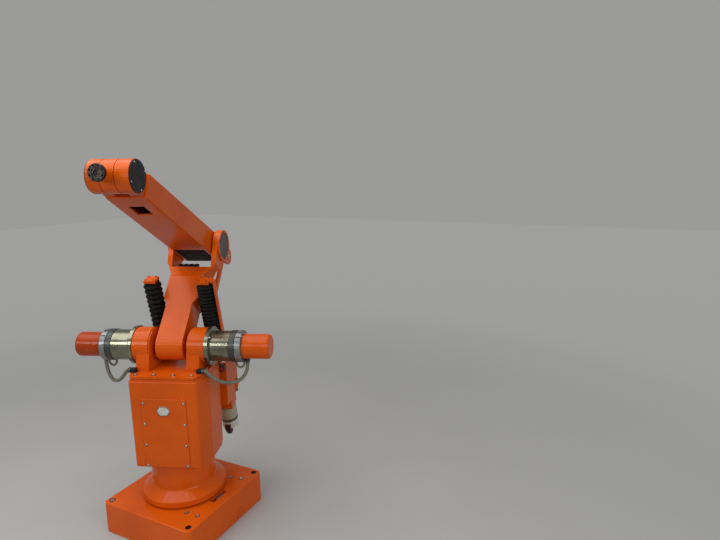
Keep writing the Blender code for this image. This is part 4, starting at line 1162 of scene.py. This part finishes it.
# Elbow and wrist covers
lower_length = (ELBOW - SHOULDER).length
upper_length = (WRIST - ELBOW).length
casting_high = extent("lower_arm_casting", LOWER_FRAME)[1]
for side, label in SIDES:
    fasteners(
        label + "_elbow_screws",
        dome_screw,
        SMALL_SCREW,
        around_x(
            LOWER_FRAME,
            casting_high.x * side,
            ELBOW_SCREW_RADIUS,
            ELBOW_SCREWS,
            math.radians(15.0),
            (0.0, lower_length),
        ),
        dark_steel,
        "lower_arm",
    )
    fasteners(
        label + "_wrist_cap_screws",
        dome_screw,
        SMALL_SCREW,
        around_x(
            UPPER_FRAME,
            extent(label + "_wrist_cap", UPPER_FRAME)[1 if side > 0.0 else 0].x,
            WRIST_SCREW_RADIUS,
            WRIST_SCREWS,
            math.radians(45.0),
            (0.0, upper_length),
        ),
        steel,
        "upper_arm",
    )

# Under the upper arm: the plate that closes a slot, and a black sheet of painted shade on the underside
# at the rear end
underside_slope = (ARM_BOTTOM_ELBOW - ARM_BOTTOM_WRIST) / (upper_length - ARM_FRONT_INSET + ARM_BACK)


def underside_panel(name, half, start, end, depths, gap, material):
    """A thin panel along the upper arm's sloping underside, depths measured upward from it."""
    bottom = -ARM_BOTTOM_ELBOW + underside_slope * (start + ARM_BACK)
    shape_bm = slanted_box(
        (-half + gap, bottom + depths[0], start + gap),
        (half - gap, bottom + depths[1], end - gap),
        underside_slope * (end - start),
    )
    placed_shape(name, shape_bm, UPPER_FRAME, material, "upper_arm")


underside_panel(
    "underside_plate",
    SLOT_HALF,
    SLOT_START,
    SLOT_END,
    (0.0, SLOT_PLATE_THICK),
    SEAT_GAP,
    paint,
)
# A black sheet of painted shade on the underside near the elbow
underside_panel(
    "underside_shade_sheet",
    SHADE_SHEET_HALF,
    SHADE_SHEET_START,
    SHADE_SHEET_END,
    (-SHADE_SHEET_PROUD, SHADE_SHEET_SUNK),
    0.0,
    shade_sheet_finish,
)


def fork_shade_blocks():
    """Black blocks on a foot between the fork's ears, which paint the shade in the gap below the elbow.
    """
    half_width, half_depth, thick = SHADE_BLOCK_FOOT
    saddle_at = lower_length - SADDLE_DROP + SEAT_GAP
    shapes = [slanted_box(
        (-half_width, -half_depth, saddle_at),
        (half_width, half_depth, saddle_at + thick),
    )]
    for x in SHADE_BLOCK_PLACES:
        shapes.append(slanted_box(
            (x - SHADE_BLOCK_THICK / 2.0, SHADE_BLOCK_DEPTH[0], saddle_at + thick),
            (x + SHADE_BLOCK_THICK / 2.0, SHADE_BLOCK_DEPTH[1], saddle_at + SADDLE_DROP - SHADE_BLOCK_TOP),
            SHADE_BLOCK_SKEW,
        ))
    shape_bm = joined(shapes)
    bevel(shape_bm, SHADE_BLOCK_EDGE, 2)
    placed_shape("fork_shade_blocks", shape_bm, LOWER_FRAME, black_plastic, "lower_arm")


fork_shade_blocks()

# Front cover, lid and badge
cover_low, cover_high = extent("front_cover", COLUMN_FRAME)
cover_start = cover_low.z + COVER_SCREW_BOTTOM
cover_run = cover_high.z - cover_low.z - COVER_SCREW_BOTTOM - COVER_SCREW_TOP
cover_side = cover_high.x - COVER_SCREW_INSET
cover_heights = [cover_start + cover_run * i / (COVER_ROWS - 1) for i in range(COVER_ROWS)]
cover_spots = [
    facing(COLUMN_FRAME, (x * cover_side, cover_low.y, z), (0.0, -1.0, 0.0))
    for x in (-1.0, 1.0)
    for z in cover_heights
]
screws_on_shade_washers("cover", dome_screw, COVER_SCREW, THIN_SHADE_WASHER, cover_spots, "column")
lid_low, lid_high = extent("column_lid", COLUMN_FRAME)
lid_places = [(x, lid_low.y + LID_FRONT_INSET) for x in LID_FRONT_SCREWS]
lid_places += [(x, lid_high.y - LID_BACK_INSET) for x in LID_BACK_SCREWS]
lid_places += [(x, y) for x in LID_SIDE_SCREWS[0] for y in LID_SIDE_SCREWS[1]]
lid_spots = [facing(COLUMN_FRAME, (x, y, lid_high.z), (0.0, 0.0, 1.0)) for x, y in lid_places]
screws_on_shade_washers("lid", cap_screw, LID_SCREW, THICK_SHADE_WASHER, lid_spots, "column")

badge_low, badge_high = extent("blank_plate", COLUMN_FRAME)
badge_centre = (badge_low + badge_high) / 2.0


def badge_border():
    """A thin dark border on the plain plate."""
    half_x = (badge_high.x - badge_low.x) / 2.0
    half_z = (badge_high.z - badge_low.z) / 2.0
    shape_bm = bmesh.new()
    loops = []
    for scale, proud in BADGE_BORDER:
        loops.append([
            shape_bm.verts.new((
                badge_centre.x + x * half_x * scale,
                badge_low.y - proud,
                badge_centre.z + z * half_z * scale,
            ))
            for x, z in BADGE_OUTLINE
        ])
    for first, second in zip(loops, loops[1:]):
        for i in range(len(BADGE_OUTLINE)):
            j = (i + 1) % len(BADGE_OUTLINE)
            shape_bm.faces.new((first[i], first[j], second[j], second[i]))
    bmesh.ops.recalc_face_normals(shape_bm, faces=shape_bm.faces)
    placed_shape("badge_border", shape_bm, COLUMN_FRAME, black_plastic, "column")


badge_border()
fasteners(
    "badge_rivets",
    dome_screw,
    BADGE_RIVET,
    [
        facing(COLUMN_FRAME, (x * BADGE_RIVET_PLACE, badge_low.y, badge_centre.z), (0.0, -1.0, 0.0))
        for x in (-1.0, 1.0)
    ],
    steel,
    "column",
)

# Base
base_high = extent("base_plate", Matrix.Identity(4))[1]
base_spots = [
    facing(Matrix.Identity(4), (x, y, base_high.z), (0.0, 0.0, 1.0))
    for x, y in BASE_SCREW_PLACES
]
screws_on_shade_washers("base", cap_screw, BASE_SCREW, THICK_SHADE_WASHER, base_spots, "base")
hole_place = base_high.x - CORNER_INSET
front_corner = Matrix.Translation((-hole_place, -hole_place, base_high.z))
for label, across, forward in (("front", 1.0, -1.0), ("right", 1.0, 1.0), ("rear", -1.0, 1.0)):
    corner = Matrix.Translation((across * hole_place, forward * hole_place, base_high.z))
    placed_rings(
        "hole_plug_" + label,
        HOLE_PLUG,
        corner,
        rubber,
        "base",
        CORNER_SEGMENTS,
    )
placed_rings(
    "front_corner_washer",
    CORNER_WASHER,
    front_corner,
    dark_steel,
    "base",
    CORNER_SEGMENTS,
)
placed_rings(
    "front_corner_bolt",
    CORNER_BOLT,
    front_corner,
    steel,
    "base",
    CORNER_SEGMENTS,
)


def knob():
    """A fluted hand knob with a red cap, on the right bracket."""
    bracket_low, bracket_high = extent("right_trunnion_bracket", COLUMN_FRAME)
    place = facing(
        COLUMN_FRAME,
        (
            bracket_high.x - KNOB_RADIUS - KNOB_EDGE_GAP,
            bracket_low.y,
            bracket_high.z - KNOB_RADIUS,
        ),
        (0.0, -1.0, 0.0),
    )
    rings = [(KNOB_RADIUS * share, height, 0) for share, height in KNOB_PROFILE]
    shape_bm = ring_shape(rings, KNOB_SEGMENTS)
    for vertex in shape_bm.verts:
        radius = math.hypot(vertex.co.x, vertex.co.y)
        if vertex.co.z > KNOB_FLUTES_FROM and radius > KNOB_RADIUS * KNOB_FLUTES_INNER:
            angle = math.atan2(vertex.co.y, vertex.co.x)
            wave = 0.5 + 0.5 * math.cos(KNOB_FLUTES * angle)
            dent = 1.0 - KNOB_FLUTE_DEPTH * wave ** 2
            vertex.co.x *= dent
            vertex.co.y *= dent
    placed_shape("hand_knob", shape_bm, place, black_plastic, "column")
    placed_rings(
        "hand_knob_cap",
        [(KNOB_RADIUS * share, height, 0) for share, height in KNOB_CAP],
        place,
        red_plastic,
        "column",
    )


knob()


def flange():
    """Tool flange with its ring of tapped holes, centring recess and bore."""
    box_low, box_high = extent("tool_flange", TOOL_FRAME)
    radius = box_high.x - FLANGE_INSET
    face = box_high.z - FLANGE_INSET
    rings = [
        (0.0, box_low.z, 0),
        (radius, box_low.z, 0),
        (radius, face - FLANGE_EDGE, 0),
        (radius - FLANGE_EDGE, face, 0),
    ]
    rings += [(radius * share, face - depth, 0) for share, depth in FLANGE_PROFILE]
    shape_bm = ring_shape(rings, FLANGE_SEGMENTS)
    piece = placed_shape("flange_face", shape_bm, TOOL_FRAME, flange_steel, "tool")
    holes_bm = bmesh.new()
    for i in range(FLANGE_HOLES):
        angle = 2.0 * math.pi * (i + 0.5) / FLANGE_HOLES
        reach = radius * FLANGE_HOLE_CIRCLE
        centre = (reach * math.cos(angle), reach * math.sin(angle), face)
        bmesh.ops.create_cone(
            holes_bm,
            cap_ends=True,
            segments=FLANGE_HOLE_SEGMENTS,
            radius1=FLANGE_HOLE_RADIUS,
            radius2=FLANGE_HOLE_RADIUS,
            depth=FLANGE_HOLE_DEPTH,
            matrix=TOOL_FRAME @ Matrix.Translation(centre),
        )
    mesh = bpy.data.meshes.new("hole_cutter")
    holes_bm.to_mesh(mesh)
    holes_bm.free()
    mesh.materials.append(dark_steel)
    cutter = bpy.data.objects.new("hole_cutter", mesh)
    bpy.context.scene.collection.objects.link(cutter)
    modifier = piece.modifiers.new("Holes", "BOOLEAN")
    modifier.operation = "DIFFERENCE"
    modifier.solver = "EXACT"
    modifier.object = cutter
    evaluated = piece.evaluated_get(bpy.context.evaluated_depsgraph_get())
    drilled = bpy.data.meshes.new_from_object(evaluated)
    piece.modifiers.clear()
    piece.data = drilled
    bpy.data.objects.remove(cutter, do_unlink=True)
    drilled.set_sharp_from_angle(angle=FLANGE_SMOOTH_ANGLE)
    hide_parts("tool_flange")


flange()


# Studio
def area_light(name, place, target, size, radiance):
    """A soft rectangular lamp of a given brightness that faces a point."""
    lamp = bpy.data.lights.new(name, "AREA")
    lamp.shape = "RECTANGLE"
    lamp.size, lamp.size_y = size
    lamp.energy = radiance * math.pi * size[0] * size[1]
    holder = bpy.data.objects.new(name, lamp)
    bpy.context.scene.collection.objects.link(holder)
    holder.location = place
    turn = (Vector(target) - Vector(place)).to_track_quat("-Z", "Y")
    holder.rotation_euler = turn.to_euler()


area_light("ceiling_panel", (-0.45, -0.40, 2.85), (0.0, 0.0, 0.8), (2.4, 2.4), radiance=2.5)
area_light("front_strip", (-0.15, -2.80, 1.85), (0.1, 0.0, 0.7), (2.6, 0.06), radiance=42.0)
area_light("side_panel", (2.6, -0.9, 1.7), (0.0, 0.0, 0.7), (1.5, 1.5), radiance=2.7)


def floor_finish():
    """Pale floor that keeps the shadow near the arm and fades into the backdrop far off."""
    material, tree, shader = principled("pale_floor")
    source = object_space(tree)
    tone = ramp(tree, noise(tree, source, scale=1.4), FLOOR_TONES)
    distance = add(tree, "ShaderNodeVectorMath")
    distance.operation = "LENGTH"
    tree.links.new(source, distance.inputs[0])
    fade = add(tree, "ShaderNodeMapRange", From_Min=FLOOR_FADE[0], From_Max=FLOOR_FADE[1])
    fade.interpolation_type = "SMOOTHSTEP"
    tree.links.new(distance.outputs["Value"], fade.inputs["Value"])
    tree.links.new(mix(tree, fade.outputs["Result"], tone, grey(0.0)), shader.inputs["Base Color"])
    rays = add(tree, "ShaderNodeLightPath")
    seen = maths(tree, "MAXIMUM", rays.outputs["Is Camera Ray"], rays.outputs["Is Glossy Ray"])
    glow = maths(tree, "MULTIPLY", fade.outputs["Result"], seen)
    tree.links.new(glow, shader.inputs["Emission Strength"])
    shader.inputs["Emission Color"].default_value = BACKDROP
    shader.inputs["Roughness"].default_value = 0.7
    shader.inputs["Specular IOR Level"].default_value = 0.15
    return material


world = bpy.data.worlds.new("studio")
bpy.context.scene.world = world
world.use_nodes = True
background = world.node_tree.nodes["Background"]
background.inputs["Color"].default_value = (*WORLD_COLOUR, 1.0)
background.inputs["Strength"].default_value = WORLD_STRENGTH

floor_bm = bmesh.new()
bmesh.ops.create_grid(floor_bm, x_segments=2, y_segments=2, size=FLOOR_SIZE)
floor_mesh = bpy.data.meshes.new("floor")
floor_bm.to_mesh(floor_mesh)
floor_bm.free()
floor_mesh.materials.append(floor_finish())
floor = bpy.data.objects.new("floor", floor_mesh)
bpy.context.scene.collection.objects.link(floor)
floor.location.z = -FLOOR_DROP

camera_data = bpy.data.cameras.new("camera")
camera_data.lens = CAMERA_LENS
camera_data.sensor_width = CAMERA_SENSOR
camera_data.clip_start = CAMERA_NEAR
camera = bpy.data.objects.new("camera", camera_data)
bpy.context.scene.collection.objects.link(camera)
camera.matrix_world = (
    Matrix.Translation(CAMERA_PLACE)
    @ Matrix.Rotation(CAMERA_YAW, 4, "Z")
    @ Matrix.Rotation(math.pi / 2.0 + CAMERA_PITCH, 4, "X")
    @ Matrix.Rotation(CAMERA_ROLL, 4, "Z")
)
bpy.context.scene.camera = camera
bpy.context.scene.view_settings.view_transform = "Standard"
